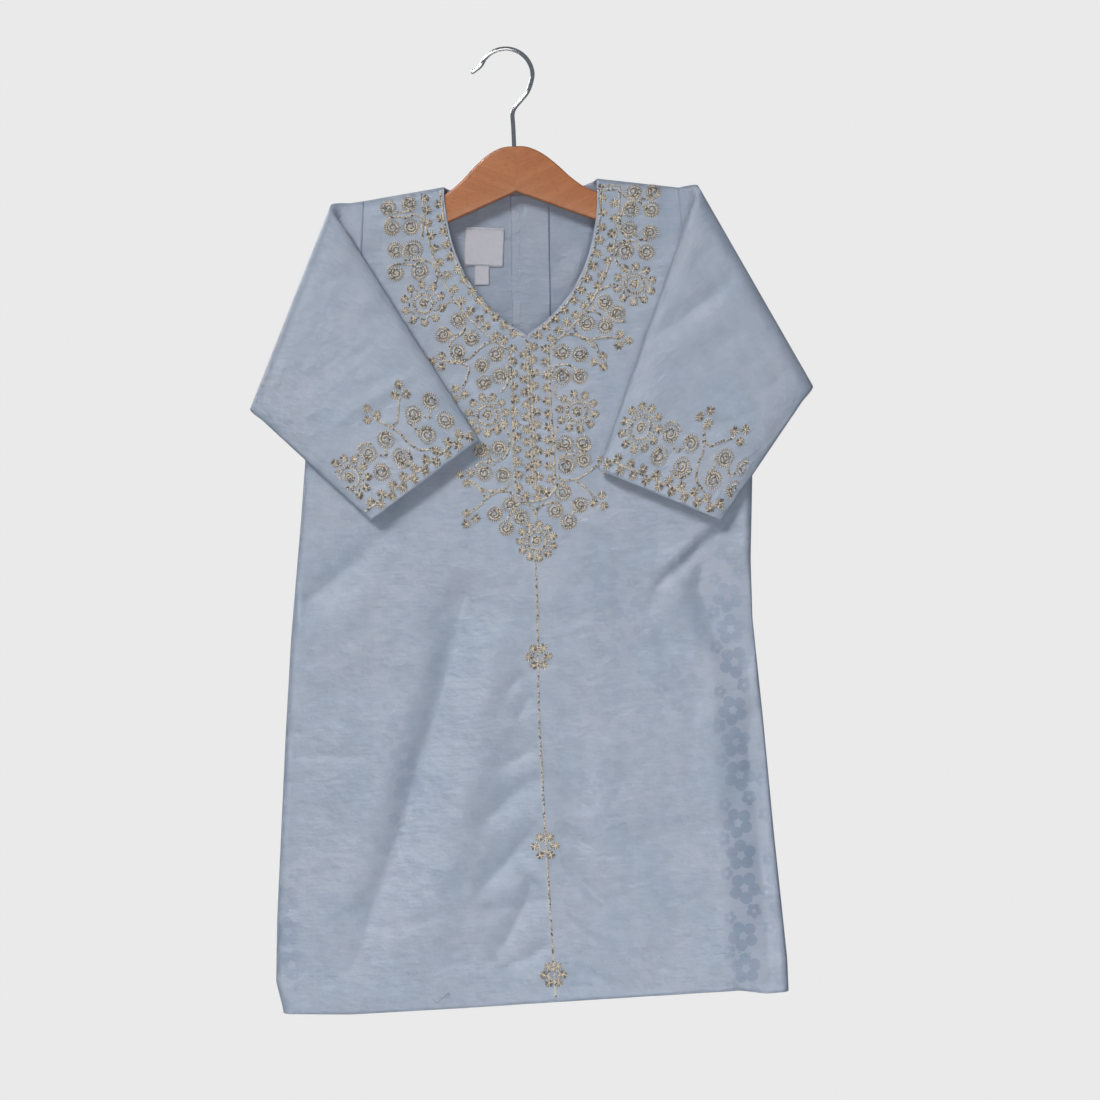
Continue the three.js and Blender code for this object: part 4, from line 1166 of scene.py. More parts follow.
class Pen:
    """Collects stitches drawn on a flat chart."""

    def __init__(self):
        self.stitches = []

    def grain(self, x, z, angle, length, width, lift=0.0, tone=None):
        tone = thread_tone() if tone is None else tone
        self.stitches.append(Stitch(x, z, angle, length, width, lift, tone))

    def spoke(self, x, z, angle, away, length, width, lift=0.0, tone=None):
        """A stitch that points away from a middle."""
        self.grain(*round_point(x, z, away, angle), angle, length, width, lift, tone)

    def star(self, x, z, reach=3.4, spokes=10):
        """A small rosette of pointed stitches, with a knot in its middle."""
        turn = random.random() * math.pi
        for i in range(spokes):
            angle = turn + 2 * math.pi * (i + random.uniform(-0.15, 0.15)) / spokes
            far = reach * random.uniform(0.86, 1.12)
            self.spoke(x, z, angle, 0.58 * far, 0.98 * far, 0.78)
            # Dark, sunken grains between the spokes: painted shadow in the gaps of the rosette.
            self.spoke(x, z, angle + math.pi / spokes, 1.6, 2.5, 0.75, -0.15, 0.15)
        self.grain(x, z, turn, 1.8, 1.6, 0.3, 1.0)

    def along(self, points, pitch=0.85, width=0.85, twist=0.45, offset=0.22, tone=None, lift=0.0):
        """A chain of slanting stitches along a line of points."""
        points = np.array(points, dtype=float)
        marks = lengths_along(points)
        count = max(2, int(marks[-1] / pitch))
        xs, zs = place_on(points, marks, np.linspace(0, marks[-1], count))
        for i in range(count):
            a, b = max(0, i - 1), min(count - 1, i + 1)
            angle = math.atan2(zs[b] - zs[a], xs[b] - xs[a])
            way = 1 if i % 2 else -1
            aside = way * offset
            self.grain(
                xs[i] - aside * math.sin(angle), zs[i] + aside * math.cos(angle),
                angle + way * twist, pitch * 1.9, width, lift, tone,
            )

    def stem(self, points):
        self.along(smooth_line(points), 0.8, 1.3, 0.5, 0.3)

    def ticks(self, x, z, radius, count, length=1.3, start=0.0):
        """Short bright stitches that stand out from a ring, with dark grains between them as painted shadow
        in the gaps.
        """
        for i in range(count):
            angle = start + 2 * math.pi * i / count
            self.spoke(x, z, angle, radius, length, 0.7, 0.1, random.uniform(0.6, 1))
            # Dark grains between the bright ticks: painted shadow.
            self.spoke(x, z, angle + math.pi / count, radius - 0.3, length * 0.7, 0.5, -0.2, 0.1)

    def spiral(self, x, z, radius=5.0, start=0.0, hand=1, ticked=True):
        """A curl of bright chain stitch with a line of dark grains between its turns as painted shadow,
        ticks all round, and a knot.
        """
        turns, count = 1.7, 60
        before_knot = 46
        bright, dark = [], []
        for i in range(count):
            t = i / (count - 1)
            r = radius * lerp(0.77, 0.18, t ** 1.5)
            angle = start + hand * 2 * math.pi * turns * t
            bright.append(round_point(x, z, r, angle))
            dark.append(round_point(x, z, r - 0.8, angle))
        # The dark line inside the bright one: painted shadow between the curl's turns.
        self.along(dark[:before_knot], 1.3, 0.75, 0.2, 0.1, 0.1, -0.25)
        self.along(bright, 0.85, 1.1, 0.4, 0.12)
        if ticked:
            self.ticks(x, z, radius * 0.97, round(4.4 * radius), 1.9, start)
        self.grain(x, z, start, 1.6, 1.3, 0.3, 0.9)

    def flower(self, x, z, radius=5.9, reach=12.2, dots=10, start=0.3):
        """A curl in a ticked ring, and a wavy ring of stars round it."""
        self.spiral(x, z, radius * 0.72, start, ticked=False)
        self.along(ring(x, z, radius, 50), 0.85, 1.2, 0.4, 0.15)
        self.ticks(x, z, radius * 1.2, 28, 1.8)
        wave, count = [], 140
        for i in range(count):
            angle = start + 2 * math.pi * i / (count - 1)
            r = reach - 2.4 + 1.3 * math.cos(dots * (angle - start))
            wave.append(round_point(x, z, r, angle))
        self.along(wave)
        for i in range(dots):
            self.star(*round_point(x, z, reach, start + 2 * math.pi * i / dots), 2.9)

    def trefoil(self, x, z, degrees):
        """Three stars round the end of a stem that points in one direction."""
        for turn in (-118, 0, 118):
            self.star(*round_point(x, z, 4.0, math.radians(degrees + turn)))

    def motifs(self, curls, flowers, trefoils, stems):
        for curl in curls:
            self.spiral(curl.x, curl.z, curl.radius, math.radians(curl.start), curl.hand)
        for flower in flowers:
            self.flower(flower.x, flower.z, flower.radius, flower.reach, flower.dots, flower.start)
        for trefoil in trefoils:
            self.trefoil(trefoil.x, trefoil.z, trefoil.degrees)
        for points in stems:
            self.stem(points)


# ---------------------------------------------------------------- the chest's embroidery

Curl = namedtuple("Curl", "x z radius start hand")
Flower = namedtuple("Flower", "x z radius reach dots start")
Trefoil = namedtuple("Trefoil", "x z degrees")

# The two sides are the same drawing, but for what the hand and the hang of the cloth make of it.
LEFT_CURLS = [
    Curl(-86.5, -99.5, 5.0, 60, 1), Curl(-73.0, -97.6, 4.8, 200, -1),
    Curl(-84.5, -112.5, 5.2, 120, 1), Curl(-72.5, -112.5, 5.2, 30, -1),
    Curl(-83.0, -127.0, 5.1, 80, 1), Curl(-71.0, -127.0, 5.9, 250, -1),
    Curl(-83.5, -142.0, 5.1, 130, 1), Curl(-68.0, -141.5, 5.7, 40, -1),
    Curl(-44.5, -174.5, 5.0, 300, 1), Curl(-54.5, -183.5, 5.0, 60, -1),
    Curl(-36.0, -186.5, 5.1, 100, 1), Curl(-45.5, -195.0, 5.1, 200, 1),
    Curl(-20.5, -197.5, 5.2, 60, -1), Curl(-30.0, -204.2, 4.8, 150, 1),
    Curl(-18.8, -212.0, 5.1, 330, 1), Curl(-29.5, -215.8, 4.8, 60, -1),
    Curl(-21.5, -259.0, 5.1, 330, 1), Curl(-33.5, -260.0, 4.7, 60, -1),
    Curl(-31.5, -274.5, 5.1, 60, 1), Curl(-19.5, -276.5, 5.0, 120, -1),
    Curl(-15.5, -296.0, 5.0, 300, 1), Curl(-26.0, -301.5, 4.9, 60, -1),
    Curl(-9.0, -304.5, 4.9, 60, 1), Curl(-19.0, -311.0, 4.9, 60, -1),
]
RIGHT_CURLS = [
    Curl(73.5, -96.0, 4.9, 240, 1), Curl(86.0, -96.2, 4.9, 250, -1),
    Curl(71.0, -107.5, 5.1, 170, -1), Curl(84.5, -108.0, 5.1, 160, 1),
    Curl(69.5, -120.0, 5.3, 200, 1), Curl(83.0, -123.0, 5.0, 220, -1),
    Curl(66.5, -134.0, 5.5, 110, -1), Curl(80.0, -135.5, 5.2, 160, 1),
    Curl(51.5, -167.0, 5.0, 150, 1), Curl(59.5, -174.5, 5.0, 230, -1),
    Curl(39.5, -180.0, 5.2, 180, 1), Curl(51.0, -182.5, 5.0, 100, -1),
    Curl(22.5, -198.0, 5.2, 180, 1), Curl(34.0, -200.0, 5.1, 20, -1),
    Curl(22.0, -214.0, 5.5, 190, -1), Curl(33.5, -214.5, 5.0, 60, 1),
    Curl(22.0, -257.5, 5.2, 180, 1), Curl(33.5, -258.0, 5.1, 340, -1),
    Curl(22.0, -272.0, 5.5, 120, -1), Curl(33.5, -269.0, 5.0, 80, 1),
    Curl(19.0, -289.5, 5.5, 90, -1), Curl(30.0, -298.0, 5.1, 120, 1),
    Curl(13.5, -301.0, 5.1, 60, -1), Curl(22.0, -308.5, 5.2, 170, 1),
]
FLOWERS = [
    Flower(-66.5, -162.6, 5.8, 12.6, 10, 0.35), Flower(71.5, -156.0, 5.6, 11.8, 10, 0.2),
    Flower(-28.0, -237.0, 6.0, 12.2, 11, 0.1), Flower(30.5, -237.3, 6.0, 11.8, 10, 0.45),
    Flower(0.6, -320.3, 5.8, 11.2, 11, 0.25),
]
TREFOILS = [
    Trefoil(-58.2, -200.7, 175), Trefoil(-46.2, -222.4, 236),
    Trefoil(-43.8, -276.7, 155), Trefoil(-42.6, -303.8, 240),
    Trefoil(62.0, -192.0, 350), Trefoil(46.8, -205.3, 300),
    Trefoil(47.8, -272.0, 20), Trefoil(42.7, -296.2, 310),
]
LEFT_STEMS = [
    # Shoulder.
    [(-83, -102.6), (-79.5, -102.8), (-75, -102.4), (-70, -101)],
    [(-89, -109.4), (-86, -106.2), (-79.6, -105.4), (-76, -106.4), (-71, -104.6),
     (-67, -106), (-65.3, -110), (-65.4, -120)],
    [(-77.4, -124), (-78, -129), (-77.6, -133.2), (-73, -134.2), (-66.6, -133)],
    [(-88.6, -138.6), (-85, -136.6), (-79, -136.2), (-72, -137.4)],
    [(-71, -137), (-65, -134.6), (-59.6, -137), (-57, -142), (-57, -147.4), (-59.6, -151)],
    # Between the shoulder's flower and the chest.
    [(-53.5, -166), (-51, -163), (-47.6, -162), (-43.8, -164), (-41, -168.4), (-40, -172)],
    [(-50.4, -194), (-50, -189), (-46, -185.6), (-42, -182.6), (-40, -178.6)],
    [(-55, -178.6), (-50.8, -181), (-47.6, -184.6), (-43, -183.4), (-40.4, -180)],
    [(-56, -200.6), (-48, -201), (-40, -200.4), (-35, -197), (-30, -192.4),
     (-25.6, -190), (-19.6, -189.6), (-15, -193)],
    [(-51, -201.8), (-42, -203), (-38.8, -206), (-40, -211), (-43.4, -218.6)],
    # Beside the panel.
    [(-14, -205), (-13.4, -212), (-15, -218.6), (-18.4, -222.4)],
    [(-26, -247), (-20, -244.4), (-16, -246.6), (-14.4, -252), (-15, -259),
     (-18, -265), (-23, -267), (-28.4, -265)],
    [(-37.4, -262), (-36, -257.4), (-32, -255.4), (-28.6, -258), (-28, -263), (-27.4, -268)],
    [(-38, -271.4), (-35, -268.2), (-30, -267.4), (-25, -269.6)],
    [(-41, -279), (-37, -283), (-31, -286), (-24, -286.4), (-18, -285), (-15, -281.4)],
    [(-41.4, -299.4), (-36, -296), (-31, -291), (-26, -288), (-20, -287),
     (-15.4, -288), (-12.4, -291), (-11, -294)],
    [(-38.4, -280.4), (-34.4, -286), (-31.6, -290)],
    # Foot.
    [(-12.6, -298.6), (-15, -301.6), (-18, -305)],
    [(-12.4, -296.4), (-8, -295.2), (-3.6, -296.4), (-1, -299.6), (-0.4, -304)],
]
RIGHT_STEMS = [
    # Shoulder.
    [(50, -91.6), (56, -91.2), (61.4, -91.4)],
    [(50.4, -94), (56, -93.8), (61.6, -93.8)],
    [(63.6, -91.6), (65.6, -96.4), (69, -99.4), (74, -100)],
    [(78, -100.4), (82, -101.2), (86, -101), (89.6, -98.6)],
    [(66, -110.4), (66.4, -106), (69.4, -102.6), (74, -101.8), (78.4, -103.4), (79.4, -107.6)],
    [(66, -107.4), (64, -112), (63.6, -118), (66, -123.4), (70, -125.4)],
    [(74, -124.4), (76.6, -127), (80.4, -127.6)],
    [(60.4, -134.4), (61.2, -130.4), (65, -127.8), (70, -127.6), (74.4, -129.2), (75.4, -133.6)],
    [(60.4, -135), (60, -140), (62, -143.4), (65, -144)],
    # Between the shoulder's flower and the chest.
    [(44.4, -171), (43, -166), (45, -161.6), (49, -158.6), (54, -157), (58, -155)],
    [(33.6, -180.4), (35, -175), (40, -172.6), (46, -173), (50, -176.4), (52.4, -180)],
    [(52, -171.6), (54.6, -177), (59, -179.6), (64, -180)],
    [(31, -180), (31.6, -184.6), (35, -188.4), (40, -190.4), (46, -190), (53, -189.6), (60, -190.8)],
    [(42, -191.4), (45, -195), (46.2, -201)],
    # Beside the panel.
    [(17, -200), (17, -194), (20, -189.2), (26, -186.8), (32, -187.6), (38, -191), (43, -196)],
    [(15, -216), (15.6, -209.6), (19, -206.6), (25, -206.4), (29.4, -208.4), (31, -211)],
    [(18, -219.4), (16.4, -224), (19, -228.6)],
    [(17.6, -247), (15.6, -252), (15.4, -258), (17.6, -262.6)],
    [(25, -262.4), (30, -263.4), (35, -263), (38.6, -260.4)],
    [(17, -270), (19, -266.2), (24, -265), (28.6, -266.6)],
    [(16.4, -278), (17, -280.4), (23, -281.8), (30, -280.4), (36, -277), (41, -273.6), (45, -271.6)],
    [(28, -282.4), (33, -286), (36, -290), (39.6, -293.6)],
    [(13.6, -288), (15.6, -284.4), (20, -283)],
    # Foot.
    [(24.4, -296), (26.4, -300), (24, -304)],
    [(0.8, -305), (1.2, -300.6), (4, -297.6), (9, -296), (14.4, -295.6), (17, -297.6)],
]
# Stars of the neckline's band, from the shoulder down: the row at the edge and the row beyond it.
LEFT_INNER_STARS = [
    (-53.5, -98.5), (-53, -107.5), (-51.6, -116.2), (-50.4, -125), (-47.6, -133), (-43.2, -141.5),
    (-39.4, -148.4), (-34.6, -156), (-30.2, -162.2), (-24.8, -168), (-20, -173.4), (-14.4, -179),
    (-8.6, -184.8),
]
LEFT_OUTER_STARS = [
    (-62.5, -94.6), (-61.5, -102), (-61.3, -110.5), (-59.5, -118.6), (-57.4, -127), (-54.4, -136),
    (-50.2, -144.6), (-46, -154), (-41.4, -162), (-36, -168.6), (-30.4, -174.2), (-26, -179),
    (-20, -185.6), (-15, -188.8),
]
RIGHT_INNER_STARS = [
    (53, -99), (53, -108.4), (52, -118), (50.4, -126.4), (48.4, -135), (45.4, -143), (41.2, -151),
    (37, -158.6), (31.6, -164.6), (25.2, -171), (19, -176.4), (13, -181.4), (7.6, -186.6),
]
RIGHT_OUTER_STARS = [
    (60.4, -102.6), (60, -112.4), (58, -122.4), (56.6, -132), (54.6, -140.2), (50.6, -149), (47.4, -155.8),
    (42.6, -163), (37.8, -168.4), (32, -174.2), (26.4, -179), (20.8, -184), (15.4, -188.8),
]
INNER_CHAIN, OUTER_CHAIN = 2.0, 14.3        # distances of the band's chain lines from the neck edge


def neckline_row(distance, start, end):
    """Points at one distance from the front neckline, from near the V up to the shoulder."""
    half, z = neckline(np.linspace(0, 1, 200))
    run_half, run_z = np.gradient(half), np.gradient(z)
    size = np.hypot(run_half, run_z)
    half, z = half + distance * run_z / size, z - distance * run_half / size
    row = np.stack([half, z], axis=-1)
    marks = lengths_along(row)
    return list(zip(*place_on(row, marks, np.arange(start, marks[-1] - end, 2.0))))


def draw_neckline(pen):
    for side in (-1, 1):
        for distance, start in ((INNER_CHAIN, 1.5), (OUTER_CHAIN, 7.0)):
            pen.along([(side * half, z) for half, z in neckline_row(distance, start, 2.0)], 0.8, 1.25)
    for row in (LEFT_INNER_STARS, LEFT_OUTER_STARS, RIGHT_INNER_STARS, RIGHT_OUTER_STARS):
        for x, z in row:
            pen.star(x, z)


# The centre panel: columns of stars, and the chain lines between them.
Column = namedtuple("Column", "x top bottom count")
PANEL_COLUMNS = [
    Column(-9.6, -194.5, -285, 12), Column(-2.9, -198.5, -280, 11),
    Column(3.8, -193.8, -287, 12), Column(11.0, -195.6, -280.4, 11),
]
PANEL_LINES = [
    [(-12.4, -196.5), (-11.6, -204), (-11.5, -240), (-12.0, -280), (-11, -288), (-7, -293), (-1, -294.4)],
    [(13.4, -196.5), (13.3, -205), (13.5, -240), (14.0, -272), (12.6, -288), (7, -293), (-1, -294.4)],
    [(-0.4, -189.5), (-0.4, -230), (-0.2, -286)],
    [(1.5, -190.5), (1.6, -230), (1.4, -286)],
]
PANEL_FOOT_STARS = [(-5.4, -290.4), (8.2, -288.4), (2.0, -291.6)]


def draw_panel(pen):
    for column in PANEL_COLUMNS:
        for z in np.linspace(column.top, column.bottom, column.count):
            pen.star(column.x + random.uniform(-0.5, 0.5), z)
    for line in PANEL_LINES:
        pen.stem(line)
    for x, z in PANEL_FOOT_STARS:
        pen.star(x, z)


def embroider_chest():
    pen = Pen()
    draw_neckline(pen)
    draw_panel(pen)
    sew("neckline_embroidery", pen.stitches, front_skin, metal_thread)
    pen = Pen()
    pen.motifs(LEFT_CURLS + RIGHT_CURLS, FLOWERS, TREFOILS, LEFT_STEMS + RIGHT_STEMS)
    sew("chest_embroidery", pen.stitches, front_skin, metal_thread)


CENTRE_LINE = [
    (-0.8, -331.5), (-1.2, -370), (-2.4, -410), (-3.0, -440), (-2.6, -480), (-2.0, -520), (-1.0, -570),
    (0, -617.5),
]
CENTRE_ROSETTES = [(-1.6, -395.5, 6.4), (-2.6, -518.8, 6.8), (-0.8, -602.6, 6.2)]


def embroider_centre_line():
    """Chain line down the middle with three rosettes of six stars on it."""
    pen = Pen()
    pen.along(smooth_line(CENTRE_LINE), 0.9, 1.1)
    for x, z, reach in CENTRE_ROSETTES:
        for i in range(6):
            pen.star(*round_point(x, z, reach, math.pi * i / 3), 3.1)
        pen.along(ring(x, z, 0.56 * reach, 30))
    sew("centre_embroidery", pen.stitches, front_skin, metal_thread)


# ---------------------------------------------------------------- the cuffs' embroidery


def cuff_skin(side):
    """A skin whose flat places are the distance along the cuff from its top corner and up from its edge."""
    sleeve = SLEEVES[side]
    wide = math.dist(sleeve.cuff_top, sleeve.cuff_bottom)
    (_, _, top_cuff), (_, _, under_cuff) = sleeve_edges(sleeve)

    def skin(u, w):
        length = lerp(top_cuff - BEND_END, under_cuff - BEND_END, u / wide)
        along = 1 - (1 - SLEEVE_BEND) * w / length
        grown = wide + (w / length) * 30
        v = clamp01(0.5 + (u - wide / 2) / grown)
        return sleeve_skin(side, along, v, np.ones(len(u), dtype=bool))
    return skin, wide


# The cuff's drawing, from its flower on: distance along the cuff, and up from its edge.
CuffMotif = namedtuple("CuffMotif", "ahead up size")
CUFF_FLOWER = CuffMotif(0, 27.6, 5.9)
CUFF_CURLS = [
    CuffMotif(19.2, 31.3, 5.1), CuffMotif(18.4, 18.4, 5.3),
    CuffMotif(33.6, 31.2, 5.1), CuffMotif(34.4, 18.4, 5.2),
    CuffMotif(57.6, 32.4, 5.2), CuffMotif(56.6, 18.8, 5.3),
    CuffMotif(71.6, 32.0, 5.1), CuffMotif(71.6, 19.0, 5.2),
]
CUFF_TREFOILS = [(35.6, 47.4, 80), (59.8, 47.0, 60)]
CUFF_STEMS = [
    [(36.2, 44.0), (39.8, 36.6), (42.8, 30.6), (43.8, 22), (46.8, 15), (54, 11)],
    [(57.6, 44.6), (51.6, 39.6), (44.6, 34.4), (40.4, 36)],
    [(24.6, 27), (26.2, 24.4), (28, 24.4), (29.4, 27)],
    [(62.4, 28), (64, 25.4), (66, 25.4), (67.4, 28)],
    [(13.6, 34), (15.6, 37.2), (20, 37.6), (24.4, 35)],
    [(29, 14), (34, 12.2), (39.4, 14.2), (41, 19)],
    [(51.4, 31), (53.4, 26), (51.6, 21.4)],
]
CUFF_ROWS = [(3.8, 0.0), (8.8, 4.4)]       # height of each row of stars, and its shift along
CUFF_CHAIN, CUFF_STAR_PITCH = 6.3, 9.0


def embroider_cuff(side, name, flower_at, way):
    skin, wide = cuff_skin(side)
    pen = Pen()
    pen.along([(u, CUFF_CHAIN) for u in np.linspace(1.5, wide - 1.5, 30)], 0.8, 1.25)
    for up, shift in CUFF_ROWS:
        for u in np.arange(4 + shift, wide - 3, CUFF_STAR_PITCH):
            pen.star(u, up)
    pen.flower(flower_at, CUFF_FLOWER.up, CUFF_FLOWER.size, 11.6, 11)
    for i, curl in enumerate(CUFF_CURLS):
        pen.spiral(flower_at + way * curl.ahead, curl.up, curl.size, 0.5 + 1.3 * i, 1 if i % 2 else -1)
    for ahead, up, degrees in CUFF_TREFOILS:
        pen.trefoil(flower_at + way * ahead, up, degrees if way > 0 else 180 - degrees)
    for stem in CUFF_STEMS:
        pen.stem([(flower_at + way * ahead, up) for ahead, up in stem])
    inside = [stitch for stitch in pen.stitches if 0.8 < stitch.x < wide - 0.8]
    sew(name + "_embroidery", inside, skin, metal_thread)


embroider_chest()
embroider_centre_line()
embroider_cuff(-1, "cuff_left", 81.4, -1)
embroider_cuff(1, "cuff_right", 13.8, 1)

# ---------------------------------------------------------------- sewing

SEWN = {"length": 1.5, "width": 0.5}
SEWN_PITCH = 2.3


def seam_stitches(points, pitch=SEWN_PITCH):
    """Plain running stitches along a line."""
    points = np.array(points, dtype=float)
    marks = lengths_along(points)
    made = []
    for place in np.arange(0, marks[-1], pitch):
        x, z = place_on(points, marks, place)
        ahead = min(place + 0.5, marks[-1])
        ahead_x, ahead_z = place_on(points, marks, ahead)
        back_x, back_z = place_on(points, marks, ahead - 0.5)
        angle = math.atan2(ahead_z - back_z, ahead_x - back_x)
        made.append(Stitch(x, z, angle, SEWN["length"], SEWN["width"], 0.0, random.random()))
    return made


LOOSE_THREAD = [
    (-80, -615), (-77.6, -617.4), (-74.6, -615.6), (-71.6, -613), (-69.4, -611.4), (-69.2, -613.6),
    (-71.2, -614.6),
]


HEM_ENDS = (-176, 150)
SLIT_SEAM_X, SLIT_SEAM_TOP, SLIT_SEAM_FOOT = (-6.5, 16.0), -95, -262
STRIP_SEAM_X, STRIP_SEAM_DROP, STRIP_SEAM_PITCH = (-1.6, 17.4), -168, 2.2
LABEL_SEAM_IN, LABEL_SEAM_DOWN, LABEL_SEAM_PITCH = 1, 1.2, 2.1


def hem_stitches():
    return seam_stitches([(x, hem_z(x) + HEM_DEPTH) for x in np.linspace(*HEM_ENDS, 60)])


def sew_front():
    hem = hem_stitches()
    pen = Pen()
    pen.along(smooth_line(LOOSE_THREAD), pitch=0.7, width=0.5, twist=0, offset=0)
    loose = [stitch._replace(tone=0.0, lift=0.25) for stitch in pen.stitches]
    sew("front_sewing", hem + loose, front_skin, sewing_thread)


def sew_back():
    lines = hem_stitches()
    for x in SLIT_SEAM_X:
        lines += seam_stitches([(x, SLIT_SEAM_TOP), (x, SLIT_SEAM_FOOT)])
    lines += seam_stitches([(x, SLIT_SEAM_FOOT) for x in SLIT_SEAM_X])
    sew("back_sewing", lines, back_skin, sewing_thread, facing=1)


def inner_skin(lift):
    """Skin of a piece sewn to the back's inner side, seen from the front."""
    def skin(x, z):
        return np.stack([x, inside_back(x, z) - lift, z], axis=-1)
    return skin


def sew_inside():
    strip = []
    for x in STRIP_SEAM_X:
        foot = x + STRIP_LEAN * STRIP_SEAM_DROP
        strip += seam_stitches([(x, SLIT_SEAM_TOP), (foot, SLIT_SEAM_FOOT)], STRIP_SEAM_PITCH)
    strip = [stitch._replace(tone=0.5 + stitch.tone / 2) for stitch in strip]
    sew("strip_sewing", strip, inner_skin(0.95), sewing_thread)
    label = []
    for z in (LABEL.top - LABEL_SEAM_DOWN, LABEL.bottom + LABEL_SEAM_DOWN):
        xs = (LABEL.left + LABEL_SEAM_IN, LABEL.right - LABEL_SEAM_IN)
        ends = [turned_in_plane(LABEL, LABEL_TILT, x, z) for x in xs]
        label += seam_stitches(ends, LABEL_SEAM_PITCH)
    sew("label_sewing", label, inner_skin(1.5), sewing_thread)


sew_front()
sew_back()
sew_inside()

# ---------------------------------------------------------------- button

BUTTON_X, BUTTON_Z, BUTTON_RADIUS, BUTTON_THICK = 3.3, -101.6, 4.8, 2.2


def make_button():
    """A dished button with a raised rim, sewn on with a cross of thread."""
    start = HALF_DEPTH_BACK + 0.3
    rim, dish, ease = 0.9, 0.5, 0.35
    profile = [
        (0, 0), (BUTTON_RADIUS - ease, 0), (BUTTON_RADIUS, ease), (BUTTON_RADIUS, BUTTON_THICK - ease),
        (BUTTON_RADIUS - ease, BUTTON_THICK), (BUTTON_RADIUS - rim, BUTTON_THICK),
        (BUTTON_RADIUS - rim - ease, BUTTON_THICK - dish), (0, BUTTON_THICK - dish),
    ]
    bm = bmesh.new()
    line = [bm.verts.new((radius, start + height, 0)) for radius, height in profile]
    edges = [bm.edges.new(pair) for pair in zip(line, line[1:])]
    bmesh.ops.spin(
        bm, geom=line + edges, cent=(0, 0, 0), axis=(0, 1, 0), dvec=(0, 0, 0),
        angle=2 * math.pi, steps=40, use_merge=True, use_duplicate=False,
    )
    bmesh.ops.remove_doubles(bm, verts=bm.verts, dist=1e-4)
    bmesh.ops.recalc_face_normals(bm, faces=bm.faces)
    bmesh.ops.translate(bm, vec=(BUTTON_X + GARMENT_X, 0, BUTTON_Z), verts=bm.verts)
    piece = link("button_disc", bm, moulded)
    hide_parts("button")
    face = start + BUTTON_THICK - dish

    def skin(x, z):
        return np.stack([x, np.full_like(x, face), z], axis=-1)
    threads = []
    for turn in (math.pi / 4, -math.pi / 4):
        for step in (-0.35, 0.35):
            threads.append(Stitch(
                BUTTON_X - step * math.sin(turn), BUTTON_Z + step * math.cos(turn), turn, 3.2, 0.5, 0.0, 0.5,
            ))
    sew("button_thread", threads, skin, sewing_thread, facing=1)


make_button()

# ---------------------------------------------------------------- hanger

HANGER_DEPTH, HANGER_ARM, HANGER_LOW_Z, HANGER_EASE = 10, 95, -92.1, 1.5
CROWN_HALF = [0, 9, 18.3, 27.4, 35.8, 44, 50.7]
CROWN_Z = [-62.5, -63.4, -68, -75.6, -83.9, -90.4, -93.8]
GLUE_GAP = 0.02
WIRE_RADIUS = 1.4
HOOK_ARC_RADIUS, HOOK_ARC_X, HOOK_ARC_Z = 17.5, -3.5, -15.72
HOOK_STEM = [(0, -76.2), (0, -50), (0, -40.5), (1.4, -37.3), (6, -32.1), (10.5, -26.7)]
HOOK_TIP = [(-22.4, -10.9), (-26.1, -13.2)]


def hanger_outline():
    tilt = math.atan(HANGER_SLOPE)
    end_top = CROWN_Z[-1] - (HANGER_ARM - CROWN_HALF[-1]) * HANGER_SLOPE
    end_low = HANGER_LOW_Z - HANGER_ARM * HANGER_SLOPE
    radius = (end_top - end_low) / 2 * math.cos(tilt)
    end_x = HANGER_ARM - radius * math.cos(tilt)
    end_z = (end_top + end_low) / 2 + radius * math.sin(tilt)
    crown = [(-half, z) for half, z in zip(CROWN_HALF[:0:-1], CROWN_Z[:0:-1])]
    crown += zip(CROWN_HALF, CROWN_Z)
    turns = [math.pi / 2 - math.pi * i / 12 - tilt for i in range(13)]
    right = [round_point(end_x, end_z, radius, turn) for turn in turns]
    left = [(-x, z) for x, z in right[::-1]]
    return [tuple(p) for p in spline(crown, 6)] + right + [(0, HANGER_LOW_Z)] + left


def make_hanger_half(side, name, material):
    """One glued half of the wooden hanger, with its edges eased."""
    bm = bmesh.new()
    outline = [bm.verts.new((x, -HANGER_DEPTH / 2, z)) for x, z in hanger_outline()]
    front = bm.faces.new(outline)
    grown = bmesh.ops.extrude_face_region(bm, geom=[front])["geom"]
    moved = [item for item in grown if isinstance(item, bmesh.types.BMVert)]
    bmesh.ops.translate(bm, vec=(0, HANGER_DEPTH, 0), verts=moved)
    bmesh.ops.recalc_face_normals(bm, faces=bm.faces)
    long_edges = [e for e in bm.edges if abs(e.verts[0].co.y - e.verts[1].co.y) < 1e-6]
    bmesh.ops.bevel(
        bm, geom=long_edges, offset=HANGER_EASE, offset_type="OFFSET", segments=4, profile=0.5,
        affect="EDGES", material=-1, clamp_overlap=True,
    )
    bmesh.ops.bisect_plane(
        bm, geom=bm.verts[:] + bm.edges[:] + bm.faces[:], plane_co=(side * GLUE_GAP, 0, 0),
        plane_no=(-side, 0, 0), clear_outer=True,
    )
    open_edges = [e for e in bm.edges if e.is_boundary]
    bmesh.ops.holes_fill(bm, edges=open_edges, sides=0)
    bmesh.ops.triangulate(bm, faces=[f for f in bm.faces if len(f.verts) > 4])
    bmesh.ops.recalc_face_normals(bm, faces=bm.faces)
    piece = link(name + "_wood", bm, material)
    sharp = piece.modifiers.new("crisp cut", "EDGE_SPLIT")
    sharp.split_angle = math.radians(50)
    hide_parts(name)


def hook_line():
    bow = []
    for i in range(9):
        turn = math.radians(-2 + 158 * i / 8)
        bow.append(round_point(HOOK_ARC_X, HOOK_ARC_Z, HOOK_ARC_RADIUS, turn))
    return np.array(spline(HOOK_STEM + bow + HOOK_TIP, 10, 0.5))


